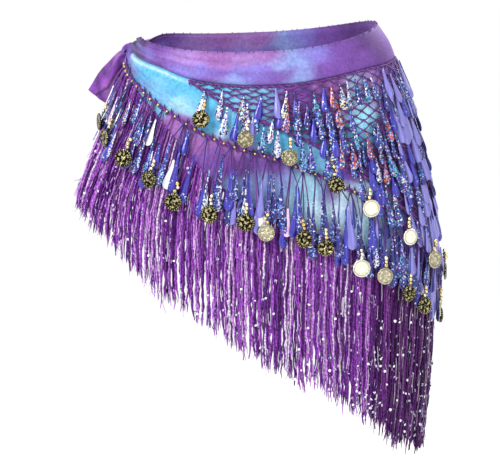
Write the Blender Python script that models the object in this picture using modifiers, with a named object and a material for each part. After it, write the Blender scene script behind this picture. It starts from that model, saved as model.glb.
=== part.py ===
"""Belly dance hip scarf, worn: a hollow wrap of tie-dyed velvet, knotted at the wearer's right hip.

Metres, +Z up. -Y is the wearer's front and +X the left hip, where the triangle's point hangs.
The origin is the middle of the waist that holds the scarf up. Round the body a place is given by
its turn, in degrees: 0 at the left hip, 90 at the front, 180 at the right hip, -90 at the back.
Down the cloth it is given by its drop, in millimetres below the waistband's top edge.
"""

import math
from collections import namedtuple

import bmesh
import bpy
from mathutils import Matrix, Vector

MM = 0.001

# Level sections of the draped form, from the waist to the tips of the fringe, in millimetres.
Section = namedtuple("Section", "height shift half_width front_depth back_depth")
FORM = [
    Section(30, 0, 112, 88, 90),
    Section(10, 0, 124, 95, 97),
    Section(-20, 1, 140, 101, 106),
    Section(-45, 0, 149, 106, 113),
    Section(-75, 0, 158, 110, 120),
    Section(-105, -3, 168, 113, 125),
    Section(-140, -6, 180, 117, 130),
    Section(-180, -9, 192, 120, 132),
    Section(-230, -10, 197, 121, 130),
    Section(-295, -10, 193, 121, 127),
    Section(-380, -8, 186, 120, 123),
    Section(-470, -7, 176, 118, 119),
]
ROUNDNESS = 2.25  # a superellipse's power: 2 is an ellipse, more is squarer

# Where each edge of the scarf hangs, as drops in millimetres, on both sides of the left hip.
Cut = namedtuple("Cut", "turn band lace beads hem fringe")
CUTS = [
    Cut(0, 36, 248, 258, 284, 188),
    Cut(15, 36, 233, 243, 277, 188),
    Cut(30, 35, 204, 216, 264, 190),
    Cut(45, 33, 169, 183, 243, 187),
    Cut(60, 33.5, 131, 155, 218, 178),
    Cut(75, 35, 99, 129, 194, 171),
    Cut(90, 35.5, 75, 108, 166, 167),
    Cut(105, 33, 51, 90, 128, 160),
    Cut(120, 28.5, 32, 71.5, 92, 170),
    Cut(135, 21.5, 31, 56.5, 67, 157),
    Cut(150, 19, 27, 43, 51, 152),
    Cut(165, 17, 23, 34, 41, 148),
    Cut(180, 15, 20, 28, 35, 146),
    Cut(195, 13, 17.5, 25, 32, 145),
]

# The waist slants up to the left hip and dips in front: its height is a short series in the turn.
WAIST_LEVEL = -0.8
WAIST_SLANT = 7.3
WAIST_FRONT_DIP = 8.9
WAIST_HIP_RISE = 6.5
KNOT_DIP = 11.0  # how far the top edge is drawn down to the knot
KNOT_DIP_WIDTH = 11.0  # degrees

KNOT_TURN = 197.0
TIE_GAP = 5.0  # degrees from the knot's middle to the end of the cloth on each side
COLUMNS = 90
LACE_STEPS = 3

CLOTH = 1.2
BAND_WALL = 1.8
LACE_WALL = 1.0
SEAM_GAP = 0.3
PANEL_TOP = 2.0  # how far the panel's top edge hides under the band

FLUTES = 15  # upright waves round the whole hem
FLUTE_DRIFT = 0.9  # how unevenly they are spaced, in radians of a wave
FLUTE_DEPTH = 2.6
FLUTE_FULL_FALL = 30.0  # millimetres of free cloth that let a wave grow to its whole depth
GATHER_DEPTH = 2.4
GATHER_COUNT = 2.0
GATHER_FADE = 16.0  # degrees
BAND_ROLL = 2.2
BAND_ROLL_FADE = 32.0

# A strand's shape down its length: share of the length, width and thickness in millimetres.
Girth = namedtuple("Girth", "share width thick")
YARN = [Girth(0.05, 7.5, 2.6), Girth(0.6, 8.0, 3.0), Girth(1.0, 4.0, 1.6)]
SPANGLE = [
    Girth(0.02, 1.8, 1.4),
    Girth(0.85, 10.0, 1.4),
    Girth(1.0, 4.5, 1.2),
]
LONG_SPANGLE = [
    Girth(0.01, 1.8, 1.4),
    Girth(0.6, 2.2, 1.4),
    Girth(0.92, 10.0, 1.4),
    Girth(1.0, 4.5, 1.2),
]
COIN = [
    Girth(0.01, 1.8, 1.4),
    Girth(0.8, 3.0, 1.6),
    Girth(0.85, 16.0, 1.6),
    Girth(0.95, 16.0, 1.6),
    Girth(1.0, 7.0, 1.6),
]
SHORT_COIN = [
    Girth(0.02, 1.8, 1.4),
    Girth(0.64, 3.0, 1.6),
    Girth(0.73, 16.0, 1.6),
    Girth(0.91, 16.0, 1.6),
    Girth(1.0, 7.0, 1.6),
]

HEADING_HEIGHT = 3.4
HEADING_WALL = 1.5
LACE_ROW_PITCH = 45.0
BAND_CLEARANCE = 1.0  # between the waistband and the first row
LACE_ROWS = 4
SPANGLE_LENGTH = 38.0
BEAD_SPANGLE_LENGTH = 72.0
BEAD_COIN_LENGTH = 91.0
EDGE_SPANGLE_LENGTH = 34.0
EDGE_COIN_LENGTH = 42.0

FRINGE_UNEVEN = 0.04  # how much the strands' lengths differ
FRINGE_START = 2  # the columns before it lie behind the knot

# How far from the panel the strands' middles hang, how far they fall before they are there, and
# how far their tips lean to the side.
FRINGE_LIFT = 2.2
FRINGE_RISE = 8.0
FRINGE_LEAN = 1.0
BEAD_LIFT = 8.6
BEAD_RISE = 24.0
BEAD_LEAN = 2.0
ROW_LIFT = 5.6
ROW_RISE = 10.0
ROW_LEAN = 1.5
EDGE_LIFT = 12.0
EDGE_RISE = 7.0
EDGE_LEAN = 1.5
LACE_REACH = 118.0  # degrees each side of the left hip that carry the lace
BEAD_REACH_FRONT = 174.0
BEAD_REACH_BACK = -154.0

KNOT_DROP = 17.0
KNOT_LIFT = 8.0
KNOT_HALF = Vector((11.0, 14.0, 15.0))  # outwards, along the waist and up
KNOT_BACK = -7.0  # its inner side is pressed flat against the hip, this far from its middle
KNOT_RIDGES = 5
KNOT_RIDGE_DEPTH = 0.1
KNOT_TWIST = 1.1

# A tie end's sections, in millimetres from the knot's middle: outwards, towards the front and
# down, with its width there and the way it faces, from 0, outwards, to 90, the front.
TieSection = namedtuple("TieSection", "order out front down width facing")
FRONT_TIE = [
    TieSection(0, 1, 2, -2, 12, 60),
    TieSection(1, 10, 7, 9, 22, 66),
    TieSection(2, 19, 10, 22, 27, 72),
    TieSection(3, 27, 11, 35, 30, 76),
    TieSection(4, 34, 12, 48, 31, 80),
]
BACK_TIE = [
    TieSection(0, 2, -2, 4, 12, -10),
    TieSection(1, 11, -7, 22, 20, -10),
    TieSection(2, 15, -10, 42, 28, -10),
    TieSection(3, 21, -12, 64, 32, -10),
    TieSection(4, 26, -13, 84, 34, -10),
]
TIE_FOLD = 5.0
TIE_WALL = 2.0
TIE_STEPS = 8  # rows of faces down a tie end

COLOURS = {
    "velvet_purple": (0.24, 0.06, 0.42, 1.0),
    "velvet_turquoise": (0.18, 0.52, 0.80, 1.0),
    "crochet_purple": (0.15, 0.03, 0.27, 1.0),
    "spangle_blue": (0.16, 0.15, 0.62, 1.0),
    "yarn_purple": (0.27, 0.06, 0.44, 1.0),
}


def table_value(rows, place, column):
    """A named column of a table, read smoothly at a place given in the rows' first column."""
    rows = sorted(rows)
    place = min(max(place, rows[0][0]), rows[-1][0])
    last = max(i for i in range(len(rows) - 1) if rows[i][0] <= place)
    before, low = rows[max(last - 1, 0)], rows[last]
    high, after = rows[last + 1], rows[min(last + 2, len(rows) - 1)]

    def value(row):
        return getattr(row, column)

    span = high[0] - low[0]
    along = (place - low[0]) / span
    start = (value(high) - value(before)) / (high[0] - before[0]) * span
    end = (value(after) - value(low)) / (after[0] - low[0]) * span
    return (
        value(low) * (2 * along**3 - 3 * along**2 + 1)
        + start * (along**3 - 2 * along**2 + along)
        + value(high) * (3 * along**2 - 2 * along**3)
        + end * (along**3 - along**2)
    )


def cut(turn, edge):
    """The drop of one of the scarf's edges, the same before and behind."""
    return table_value(CUTS, abs(turn), edge)


def knot_distance(turn):
    """Degrees from the knot, whichever way round is shorter."""
    return min(abs(KNOT_TURN - turn), abs(turn - (KNOT_TURN - 360)))


def waist_height(turn):
    angle = math.radians(turn)
    level = WAIST_LEVEL + WAIST_SLANT * math.cos(angle)
    level += WAIST_HIP_RISE * math.cos(2 * angle) - WAIST_FRONT_DIP * math.sin(angle)
    return level - KNOT_DIP * math.exp(-((knot_distance(turn) / KNOT_DIP_WIDTH) ** 2))


def flute(turn, drop):
    """Upright waves that start at the beaded chain and are deepest at the hem."""
    beads, hem = cut(turn, "beads"), cut(turn, "hem")
    free = min(max((drop - beads) / (hem - beads), 0), 1)
    fall = min((hem - beads) / FLUTE_FULL_FALL, 1)
    angle = math.radians(turn)
    wave = math.cos(angle * FLUTES + FLUTE_DRIFT * math.sin(3 * angle))
    return FLUTE_DEPTH * fall * free * (0.5 + 0.5 * wave)


def gather(turn, drop):
    """Lengthwise folds where the cloth is drawn together into the knot."""
    share = min(drop / cut(turn, "hem"), 1)
    fade = math.exp(-knot_distance(turn) / GATHER_FADE)
    return GATHER_DEPTH * fade * (0.5 - 0.5 * math.cos(2 * math.pi * GATHER_COUNT * share))


def form_point(turn, drop):
    """A point on the cloth's inner face, folds and all."""
    height = waist_height(turn) - drop
    cosine, sine = math.cos(math.radians(turn)), math.sin(math.radians(turn))
    depth = table_value(FORM, height, "front_depth" if sine > 0 else "back_depth")
    fold = flute(turn, drop) + gather(turn, drop)
    across = (table_value(FORM, height, "half_width") + fold) * abs(cosine) ** (2 / ROUNDNESS)
    along = (depth + fold) * abs(sine) ** (2 / ROUNDNESS)
    x = table_value(FORM, height, "shift") + math.copysign(across, cosine)
    return Vector((x, -math.copysign(along, sine), height)) * MM


def form_normal(turn, drop):
    """The outward direction of the cloth there."""
    step = 1.0
    round_body = form_point(turn + step, drop) - form_point(turn - step, drop)
    down_body = form_point(turn, drop + step) - form_point(turn, drop - step)
    return round_body.cross(down_body).normalized()


def column_turns():
    """The turns of the shared columns, evenly spaced round the hips from knot to knot."""
    fine = 8 * COLUMNS
    front, sweep = KNOT_TURN - TIE_GAP, 360 - 2 * TIE_GAP
    turns = [front - sweep * i / fine for i in range(fine + 1)]
    hips = [form_point(turn, cut(turn, "beads")) for turn in turns]
    walked = [0.0]
    for here, there in zip(hips, hips[1:]):
        walked.append(walked[-1] + (there - here).xy.length)
    even = []
    for column in range(COLUMNS + 1):
        goal = walked[-1] * column / COLUMNS
        after = next(i for i in range(1, fine + 1) if walked[i] >= goal or i == fine)
        share = (goal - walked[after - 1]) / (walked[after] - walked[after - 1])
        even.append(turns[after - 1] + (turns[after] - turns[after - 1]) * share)
    return even


def lace_drops(turn):
    """The drops of the lace's rows, from the band's lower edge down, which are the panel's too."""
    band, lace = cut(turn, "band") + SEAM_GAP, cut(turn, "lace")
    return [band + (lace - band) * row / LACE_STEPS for row in range(LACE_STEPS + 1)]


def panel_drops(turn):
    """The drops of the panel's rows, the first on the waistband's top edge."""
    return [0, PANEL_TOP, *lace_drops(turn), cut(turn, "beads"), cut(turn, "hem")]


class Drape:
    """The panel's grid. Everything that lies on the panel is read from its points, moved out."""

    def __init__(self):
        self.turns = column_turns()
        self.rows = [panel_drops(turn) for turn in self.turns]
        self.points = [[form_point(t, d) for d in row] for t, row in zip(self.turns, self.rows)]
        self.normals = [[form_normal(t, d) for d in row] for t, row in zip(self.turns, self.rows)]

    def at(self, column, drop, lift):
        """A point on a column of the panel, lift millimetres out. Below the hem it hangs free."""
        drops, points = self.rows[column], self.points[column]
        normals = self.normals[column]
        if drop > drops[-1]:
            turn = self.turns[column]
            below = form_point(turn, drop) - form_point(turn, drops[-1])
            return points[-1] + below + normals[-1] * lift * MM
        row = max(i for i in range(len(drops) - 1) if i == 0 or drops[i] <= drop)
        share = (drop - drops[row]) / (drops[row + 1] - drops[row])
        point = points[row].lerp(points[row + 1], share)
        return point + normals[row].lerp(normals[row + 1], share) * lift * MM

    def columns_within(self, back, front):
        return [i for i, turn in enumerate(self.turns) if back <= turn <= front]


def clear_scene():
    for obj in list(bpy.data.objects):
        bpy.data.objects.remove(obj)


def material(name):
    made = bpy.data.materials.get(name)
    if made:
        return made
    made = bpy.data.materials.new(name)
    made.use_nodes = True
    surface = made.node_tree.nodes["Principled BSDF"]
    surface.inputs["Base Color"].default_value = COLOURS[name]
    surface.inputs["Roughness"].default_value = 0.6
    surface.inputs["Metallic"].default_value = 0.3 if name == "spangle_blue" else 0.0
    return made


def add_object(name, verts, faces, finish, collection):
    mesh = bpy.data.meshes.new(name)
    mesh.from_pydata(verts, [], faces)
    mesh.materials.append(material(finish))
    mesh.update()
    obj = bpy.data.objects.new(name, mesh)
    collection.objects.link(obj)
    return obj


def grid_faces(columns, rows):
    """Quads between neighbouring columns, facing out of the body."""
    return [
        (c * rows + r, c * rows + r + 1, (c + 1) * rows + r + 1, (c + 1) * rows + r)
        for c in range(columns - 1)
        for r in range(rows - 1)
    ]


def add_wall(name, grid, wall, finish, collection):
    """A cloth wall: an open sheet of points, thickened outwards."""
    verts = [point for column in grid for point in column]
    obj = add_object(name, verts, grid_faces(len(grid), len(grid[0])), finish, collection)
    thickness = obj.modifiers.new("wall", "SOLIDIFY")
    thickness.thickness = wall * MM
    thickness.offset = 1.0
    return obj


def add_panel(drape, collection):
    grid = [column[1:] for column in drape.points]
    add_wall("hip_panel", grid, CLOTH, "velvet_turquoise", collection)


def band_roll(turn, share):
    """The band's lengthwise roll, which runs out of the knot and dies away round the front."""
    fade = math.exp(-max(knot_distance(turn) - TIE_GAP, 0) / BAND_ROLL_FADE)
    return BAND_ROLL * fade * math.sin(math.pi * share)


def add_waistband(drape, collection):
    lift = CLOTH + SEAM_GAP
    grid = []
    for column, turn in enumerate(drape.turns):
        band = cut(turn, "band")
        shares = (0, 0.5, 1)
        grid.append([drape.at(column, band * s, lift + band_roll(turn, s)) for s in shares])
    add_wall("waistband", grid, BAND_WALL, "velvet_purple", collection)


def add_lace(drape, collection):
    """The crocheted net, left uncut: its gaps are even and number far over three hundred."""
    lift = CLOTH + SEAM_GAP
    grid = []
    for column in drape.columns_within(-LACE_REACH, LACE_REACH):
        drops = lace_drops(drape.turns[column])
        grid.append([drape.at(column, drop, lift) for drop in drops])
    add_wall("upper_lace", grid, LACE_WALL, "crochet_purple", collection)


def strand_ring(drape, column, drop, lift, girth, lean):
    """Four corners of a strand that hangs between two columns, moved sideways by lean."""
    left, right = drape.at(column, drop, lift), drape.at(column + 1, drop, lift)
    along = (right - left).normalized()
    near, far = drape.at(column, drop, lift + 1), drape.at(column + 1, drop, lift + 1)
    out = ((near + far) - (left + right)).normalized()
    middle = (left + right) / 2 + along * lean * MM
    side, thick = along * girth.width / 2 * MM, out * girth.thick / 2 * MM
    return [
        middle - side - thick,
        middle + side - thick,
        middle + side + thick,
        middle - side + thick,
    ]


Strand = namedtuple("Strand", "shape length lift rise lean")


def strand_sections(strand):
    """How far down the strand each of its sections is, with its girth there. It stands clear of
    what hangs beneath it from the first one down."""
    first, *others = strand.shape
    return [(strand.rise, first), *((strand.length * girth.share, girth) for girth in others)]


def join_rings(near, far):
    """The four sides of a stretch between two rings of four corners."""
    turned = [1, 2, 3, 0]
    return [(near[side], near[turned[side]], far[turned[side]], far[side]) for side in range(4)]


class HungTrim:
    """A narrow crocheted heading on a line of the panel, with strands fused to its underside."""

    def __init__(self, drape, columns, drop_of, lift):
        self.drape, self.columns, self.drop_of, self.lift = drape, columns, drop_of, lift
        self.verts, self.faces = [], []

    def add_ring(self, corners):
        first = len(self.verts)
        self.verts += corners
        return list(range(first, first + 4))

    def heading_ring(self, column):
        """The heading's four corners on a column: inner top, inner foot, outer foot, outer top."""
        drop = self.drop_of(self.drape.turns[column])
        top, foot = drop - HEADING_HEIGHT / 2, drop + HEADING_HEIGHT / 2
        outer = self.lift + HEADING_WALL
        corners = ((top, self.lift), (foot, self.lift), (foot, outer), (top, outer))
        return self.add_ring([self.drape.at(column, *corner) for corner in corners])

    def hang(self, strand, column, root):
        """Grow a strand from the heading's underside between a column and the next."""
        start = self.drop_of(self.drape.turns[column]) + HEADING_HEIGHT / 2
        for fallen, girth in strand_sections(strand):
            lean = strand.lean * girth.share
            corners = strand_ring(self.drape, column, start + fallen, strand.lift, girth, lean)
            ring = self.add_ring(corners)
            self.faces += join_rings(root, ring)
            root = ring
        return root

    def build(self, name, strand_of, finish, collection):
        rings = [self.heading_ring(column) for column in self.columns]
        for place, (here, there) in enumerate(zip(rings, rings[1:])):
            inner, underside, outer, top = join_rings(here, there)
            self.faces += [inner, outer, top]
            tip = [underside[0], underside[3], underside[2], underside[1]]
            strand = strand_of(place, self.columns[place])
            if strand:
                tip = self.hang(strand, self.columns[place], tip)
            self.faces.append(tuple(tip))
        self.faces += [tuple(rings[0]), tuple(rings[-1])]
        obj = add_object(name, self.verts, self.faces, finish, collection)
        face_outwards(obj)


def face_outwards(obj):
    mesh = bmesh.new()
    mesh.from_mesh(obj.data)
    bmesh.ops.recalc_face_normals(mesh, faces=mesh.faces[:])
    mesh.to_mesh(obj.data)
    mesh.free()


def lean_of(place, amount):
    """Neighbouring strands lean apart by turns, so that each pair hangs as a V."""
    return amount if place % 2 else -amount


def add_hem_fringe(drape, collection):
    def strand(place, column):
        turn = (drape.turns[column] + drape.turns[column + 1]) / 2
        length = cut(turn, "fringe") * (1 + FRINGE_UNEVEN * math.sin(place * 2.3))
        return Strand(YARN, length, FRINGE_LIFT, FRINGE_RISE, lean_of(place, FRINGE_LEAN))

    def drop_of(turn):
        return cut(turn, "hem") - HEADING_HEIGHT / 2

    columns = list(range(FRINGE_START, COLUMNS + 1))
    trim = HungTrim(drape, columns, drop_of, CLOTH + SEAM_GAP)
    trim.build("hem_fringe", strand, "yarn_purple", collection)


def add_beaded_chain(drape, collection):
    """The slanting chain on the panel, with a coin, a spangle and a bare place by turns."""

    def strand(place, column):
        turn = drape.turns[column]
        free = cut(turn, "hem") - cut(turn, "beads") - 2 * HEADING_HEIGHT
        rise = min(max(free, 1.0), BEAD_RISE)
        if place % 3 == 0:
            return Strand(COIN, BEAD_COIN_LENGTH, BEAD_LIFT, rise, BEAD_LEAN)
        if place % 3 == 1:
            return Strand(LONG_SPANGLE, BEAD_SPANGLE_LENGTH, BEAD_LIFT, rise, -BEAD_LEAN)
        return None

    def drop_of(turn):
        return cut(turn, "beads")

    columns = drape.columns_within(BEAD_REACH_BACK, BEAD_REACH_FRONT)
    trim = HungTrim(drape, columns, drop_of, CLOTH + SEAM_GAP)
    trim.build("beaded_chain", strand, "spangle_blue", collection)


def add_lace_edge(drape, collection):
    """The lace's lower edge, whose coins and spangles hang over the beaded chain."""

    def strand(place, column):
        if place % 3 == 1:
            return Strand(SHORT_COIN, EDGE_COIN_LENGTH, EDGE_LIFT, EDGE_RISE, -EDGE_LEAN)
        if place % 3 == 2:
            return Strand(SPANGLE, EDGE_SPANGLE_LENGTH, EDGE_LIFT, EDGE_RISE, EDGE_LEAN)
        return None

    def drop_of(turn):
        return cut(turn, "lace") - HEADING_HEIGHT / 2

    columns = drape.columns_within(-LACE_REACH, LACE_REACH)
    trim = HungTrim(drape, columns, drop_of, CLOTH + LACE_WALL + 2 * SEAM_GAP)
    trim.build("lace_edge", strand, "spangle_blue", collection)


def add_lace_rows(drape, collection):
    """Level rows of spangles on the lace, each row as wide as the lace is long enough for it."""

    def strand(place, column):
        if place % 2:
            return None
        return Strand(SPANGLE, SPANGLE_LENGTH, ROW_LIFT, ROW_RISE, lean_of(place // 2, ROW_LEAN))

    for row in range(LACE_ROWS):
        first_drop = HEADING_HEIGHT / 2 + BAND_CLEARANCE + row * LACE_ROW_PITCH
        needed = first_drop + SPANGLE_LENGTH + 2 * HEADING_HEIGHT

        def drop_of(turn, fall=first_drop):
            return cut(turn, "band") + fall

        def long_enough(turn, least=needed):
            return cut(turn, "lace") - cut(turn, "band") >= least

        within = drape.columns_within(-LACE_REACH, LACE_REACH)
        columns = [column for column in within if long_enough(drape.turns[column])]
        trim = HungTrim(drape, columns, drop_of, CLOTH + LACE_WALL + 2 * SEAM_GAP)
        trim.build(f"lace_row_{row + 1}", strand, "spangle_blue", collection)


def knot_frame():
    """The knot's middle, with the directions outwards, towards the front and up."""
    middle = form_point(KNOT_TURN, KNOT_DROP) + form_normal(KNOT_TURN, KNOT_DROP) * KNOT_LIFT * MM
    out = form_normal(KNOT_TURN, KNOT_DROP)
    out.z = 0
    out.normalize()
    return middle, out, Vector((-out.y, out.x, 0)), Vector((0, 0, 1))


def add_knot(name, grown, collection):
    """The knot: a pressed ball whose slanting ridges are the two ends wound round each other."""
    middle, out, front, up = knot_frame()
    obj = add_object(name, [], [], "velvet_purple", collection)
    ball = bmesh.new()
    bmesh.ops.create_uvsphere(ball, u_segments=20, v_segments=12, radius=1.0)
    for vert in ball.verts:
        across, along, rise = vert.co
        angle = math.atan2(along, across)
        ridge = 1 + KNOT_RIDGE_DEPTH * math.cos(angle * KNOT_RIDGES + rise * KNOT_TWIST * math.pi)
        reach = 1 - (1 - ridge) * (1 - rise * rise)
        local = [axis * half * reach for axis, half in zip((across, along, rise), KNOT_HALF)]
        local[0] = max(local[0], KNOT_BACK)
        swollen = Vector(local) + vert.co * grown
        vert.co = middle + (out * swollen.x + front * swollen.y + up * swollen.z) * MM
    ball.to_mesh(obj.data)
    ball.free()
    return obj


def tie_section(sections, place):
    """A tie end's section between two of its rows."""
    columns = TieSection._fields[1:]
    return TieSection(place, *(table_value(sections, place, column) for column in columns))


def tie_point(sections, place, side):
    """A point of a tie end, side running from -1 to 1 across its width."""
    middle, out, front, up = knot_frame()

    def centre(at):
        section = tie_section(sections, min(max(at, 0), len(sections) - 1))
        return middle + (out * section.out + front * section.front - up * section.down) * MM

    section = tie_section(sections, place)
    angle = math.radians(section.facing)
    run = centre(place + 0.1) - centre(place - 0.1)
    across = run.cross(out * math.cos(angle) + front * math.sin(angle)).normalized()
    face = across.cross(run).normalized()
    fold = TIE_FOLD * (1 - abs(side)) * min(place, 1)
    return centre(place) + (across * side * section.width / 2 + face * fold) * MM


def add_tie_end(name, sections, collection):
    """One of the scarf's two free ends, folded once along its length."""
    places = [step / TIE_STEPS * (len(sections) - 1) for step in range(TIE_STEPS + 1)]
    sides = (-1, -0.5, 0, 0.5, 1)
    grid = [[tie_point(sections, place, side) for place in places] for side in sides]
    add_wall(name, grid, TIE_WALL, "velvet_purple", collection)


def part_from_knot(obj, cutter):
    seam = obj.modifiers.new("knot_seam", "BOOLEAN")
    seam.operation = "DIFFERENCE"
    seam.object = cutter


def main():
    clear_scene()
    collection = bpy.data.collections.new("hip_scarf")
    bpy.context.scene.collection.children.link(collection)
    drape = Drape()
    add_panel(drape, collection)
    add_waistband(drape, collection)
    add_lace(drape, collection)
    add_hem_fringe(drape, collection)
    add_beaded_chain(drape, collection)
    add_lace_edge(drape, collection)
    add_lace_rows(drape, collection)
    add_knot("tie_knot", 0, collection)
    add_tie_end("tie_end_front", FRONT_TIE, collection)
    add_tie_end("tie_end_back", BACK_TIE, collection)
    cutters = bpy.data.collections.new("cutters")
    bpy.context.scene.collection.children.link(cutters)
    seam = add_knot("knot_seam", SEAM_GAP, cutters)
    seam.hide_render = True
    seam.display_type = "WIRE"
    for name in ("hip_panel", "waistband", "tie_end_front", "tie_end_back"):
        part_from_knot(collection.objects[name], seam)


main()
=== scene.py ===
"""Belly dance hip scarf, worn: tie-dyed velvet with crochet, spangles, coins and a long fringe.

Metres, +Z up. -Y is the wearer's front and +X the left hip, where the triangle's point hangs.
Round the body a place is given by its turn, in degrees: 0 at the left hip, 90 at the front, 180
at the right hip and -90 at the back. Down the cloth it is given by its drop, in millimetres below
the waistband's top edge, and off the cloth by its lift, in millimetres outwards.
"""

import math
import random
from collections import namedtuple

import bpy
import numpy as np
from mathutils import Matrix, Vector


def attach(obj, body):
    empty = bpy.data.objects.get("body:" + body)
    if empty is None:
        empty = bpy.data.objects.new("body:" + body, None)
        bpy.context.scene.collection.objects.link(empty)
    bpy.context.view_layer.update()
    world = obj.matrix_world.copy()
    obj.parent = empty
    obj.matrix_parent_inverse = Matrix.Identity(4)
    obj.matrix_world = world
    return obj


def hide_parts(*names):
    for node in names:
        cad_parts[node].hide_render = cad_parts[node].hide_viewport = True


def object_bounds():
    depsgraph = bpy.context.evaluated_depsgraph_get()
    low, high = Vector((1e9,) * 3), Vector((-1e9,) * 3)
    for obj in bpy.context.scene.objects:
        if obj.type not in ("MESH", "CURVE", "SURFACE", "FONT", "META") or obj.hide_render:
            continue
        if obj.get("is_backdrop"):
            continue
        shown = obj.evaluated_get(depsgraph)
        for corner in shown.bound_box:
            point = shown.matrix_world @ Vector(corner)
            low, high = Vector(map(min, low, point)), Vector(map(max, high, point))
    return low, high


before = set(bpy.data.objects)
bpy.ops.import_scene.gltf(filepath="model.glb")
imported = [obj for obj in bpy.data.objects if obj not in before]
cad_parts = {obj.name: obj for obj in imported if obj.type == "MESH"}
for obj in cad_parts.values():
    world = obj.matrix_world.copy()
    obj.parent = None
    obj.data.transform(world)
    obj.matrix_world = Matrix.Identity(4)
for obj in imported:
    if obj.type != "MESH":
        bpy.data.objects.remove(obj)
CAD_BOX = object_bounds()
MM = 0.001


class Table:
    """A table of named columns, read smoothly at places given in its first column."""

    def __init__(self, names, rows):
        """Take the columns' names, the first being the place, and the rows of numbers."""
        columns = np.array(sorted(rows), float).T
        self.keys = columns[0]
        self.columns = dict(zip(names.split()[1:], columns[1:]))

    def at(self, place, name):
        """The named column's value at each place."""
        keys, values = self.keys, self.columns[name]
        place = np.clip(place, keys[0], keys[-1])
        low = np.clip(np.searchsorted(keys, place, side="right") - 1, 0, len(keys) - 2)
        before, high, after = np.maximum(low - 1, 0), low + 1, np.minimum(low + 2, len(keys) - 1)
        span = keys[high] - keys[low]
        along = (place - keys[low]) / span
        start = (values[high] - values[before]) / (keys[high] - keys[before]) * span
        end = (values[after] - values[low]) / (keys[after] - keys[low]) * span
        return (
            values[low] * (2 * along**3 - 3 * along**2 + 1)
            + start * (along**3 - 2 * along**2 + along)
            + values[high] * (3 * along**2 - 2 * along**3)
            + end * (along**3 - along**2)
        )


# Level sections of the draped form, in millimetres.
FORM = Table(
    "height shift half_width front_depth back_depth",
    [
        (30, 0, 112, 88, 90),
        (10, 0, 124, 95, 97),
        (-20, 1, 140, 101, 106),
        (-45, 0, 149, 106, 113),
        (-75, 0, 158, 110, 120),
        (-105, -3, 168, 113, 125),
        (-140, -6, 180, 117, 130),
        (-180, -9, 192, 120, 132),
        (-230, -10, 197, 121, 130),
        (-295, -10, 193, 121, 127),
        (-380, -8, 186, 120, 123),
        (-470, -7, 176, 118, 119),
    ],
)
ROUNDNESS = 2.25

# The drops of each edge of the scarf, and the fringe's length, on both sides of the left hip.
CUTS = Table(
    "turn band lace beads hem fringe",
    [
        (0, 36, 248, 258, 284, 188),
        (15, 36, 233, 243, 277, 188),
        (30, 35, 204, 216, 264, 190),
        (45, 33, 169, 183, 243, 187),
        (60, 33.5, 131, 155, 218, 178),
        (75, 35, 99, 129, 194, 171),
        (90, 35.5, 75, 108, 166, 167),
        (105, 33, 51, 90, 128, 160),
        (120, 28.5, 32, 71.5, 92, 170),
        (135, 21.5, 31, 56.5, 67, 157),
        (150, 19, 27, 43, 51, 152),
        (165, 17, 23, 34, 41, 148),
        (180, 15, 20, 28, 35, 146),
        (195, 13, 17.5, 25, 32, 145),
    ],
)
# The waist's line and its dip at the knot, in millimetres, then how far round the knot, the net and
# the beaded chain lie, in degrees, and the velvet's thickness, in millimetres.
WAIST_LEVEL, WAIST_SLANT, WAIST_FRONT_DIP, WAIST_HIP_RISE = -0.8, 7.3, 8.9, 6.5
KNOT_DIP, KNOT_DIP_WIDTH = 11.0, 11.0  # the width is in degrees
KNOT_TURN, TIE_GAP = 197.0, 5.0
FRONT_END, BACK_END = KNOT_TURN - TIE_GAP, KNOT_TURN + TIE_GAP - 360
LACE_REACH = 118.0
BEAD_REACH_FRONT, BEAD_REACH_BACK = 174.0, -154.0
CLOTH = 1.2

# Upright waves below the beaded chain, and lengthwise folds near the knot.
FLUTE_DEPTH, FLUTES = 2.6, 15
GATHER_DEPTH, GATHER_REACH = 2.4, 16


def cut(turn, edge):
    """The drop of one edge of the scarf, alike on the front and the back."""
    return CUTS.at(np.abs(turn), edge)


def knot_distance(turn):
    """How many degrees away the knot is, the shorter way round."""
    return np.minimum(np.abs(KNOT_TURN - turn), np.abs(turn - KNOT_TURN + 360))


def waist_height(turn):
    """The height of the scarf's top edge, in millimetres."""
    angle = np.radians(turn)
    level = WAIST_LEVEL + WAIST_SLANT * np.cos(angle) + WAIST_HIP_RISE * np.cos(2 * angle)
    level -= WAIST_FRONT_DIP * np.sin(angle)
    return level - KNOT_DIP * np.exp(-((knot_distance(turn) / KNOT_DIP_WIDTH) ** 2))


def flute(turn, drop):
    """Upright waves from the beaded chain to the hem."""
    beads, hem = cut(turn, "beads"), cut(turn, "hem")
    free = np.clip((drop - beads) / (hem - beads), 0, 1)
    fall = np.minimum((hem - beads) / 30.0, 1)
    angle = np.radians(turn)
    wave = np.cos(angle * FLUTES + 0.9 * np.sin(3 * angle))
    return FLUTE_DEPTH * fall * free * (0.5 + 0.5 * wave)


def gather(turn, drop):
    """Lengthwise folds where the cloth is drawn into the knot."""
    share = np.minimum(drop / cut(turn, "hem"), 1)
    near = GATHER_DEPTH * np.exp(-knot_distance(turn) / GATHER_REACH)
    return near * (0.5 - 0.5 * np.cos(4 * np.pi * share))


def form_point(turn, drop):
    """Points on the cloth's inner face."""
    turn, drop = np.broadcast_arrays(np.asarray(turn, float), np.asarray(drop, float))
    height = waist_height(turn) - drop
    cosine, sine = np.cos(np.radians(turn)), np.sin(np.radians(turn))
    front, back = FORM.at(height, "front_depth"), FORM.at(height, "back_depth")
    fold = flute(turn, drop) + gather(turn, drop)
    across = (FORM.at(height, "half_width") + fold) * np.abs(cosine) ** (2 / ROUNDNESS)
    along = (np.where(sine > 0, front, back) + fold) * np.abs(sine) ** (2 / ROUNDNESS)
    x = FORM.at(height, "shift") + np.sign(cosine) * across
    return np.stack([x, -np.sign(sine) * along, height], -1) * MM


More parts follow.
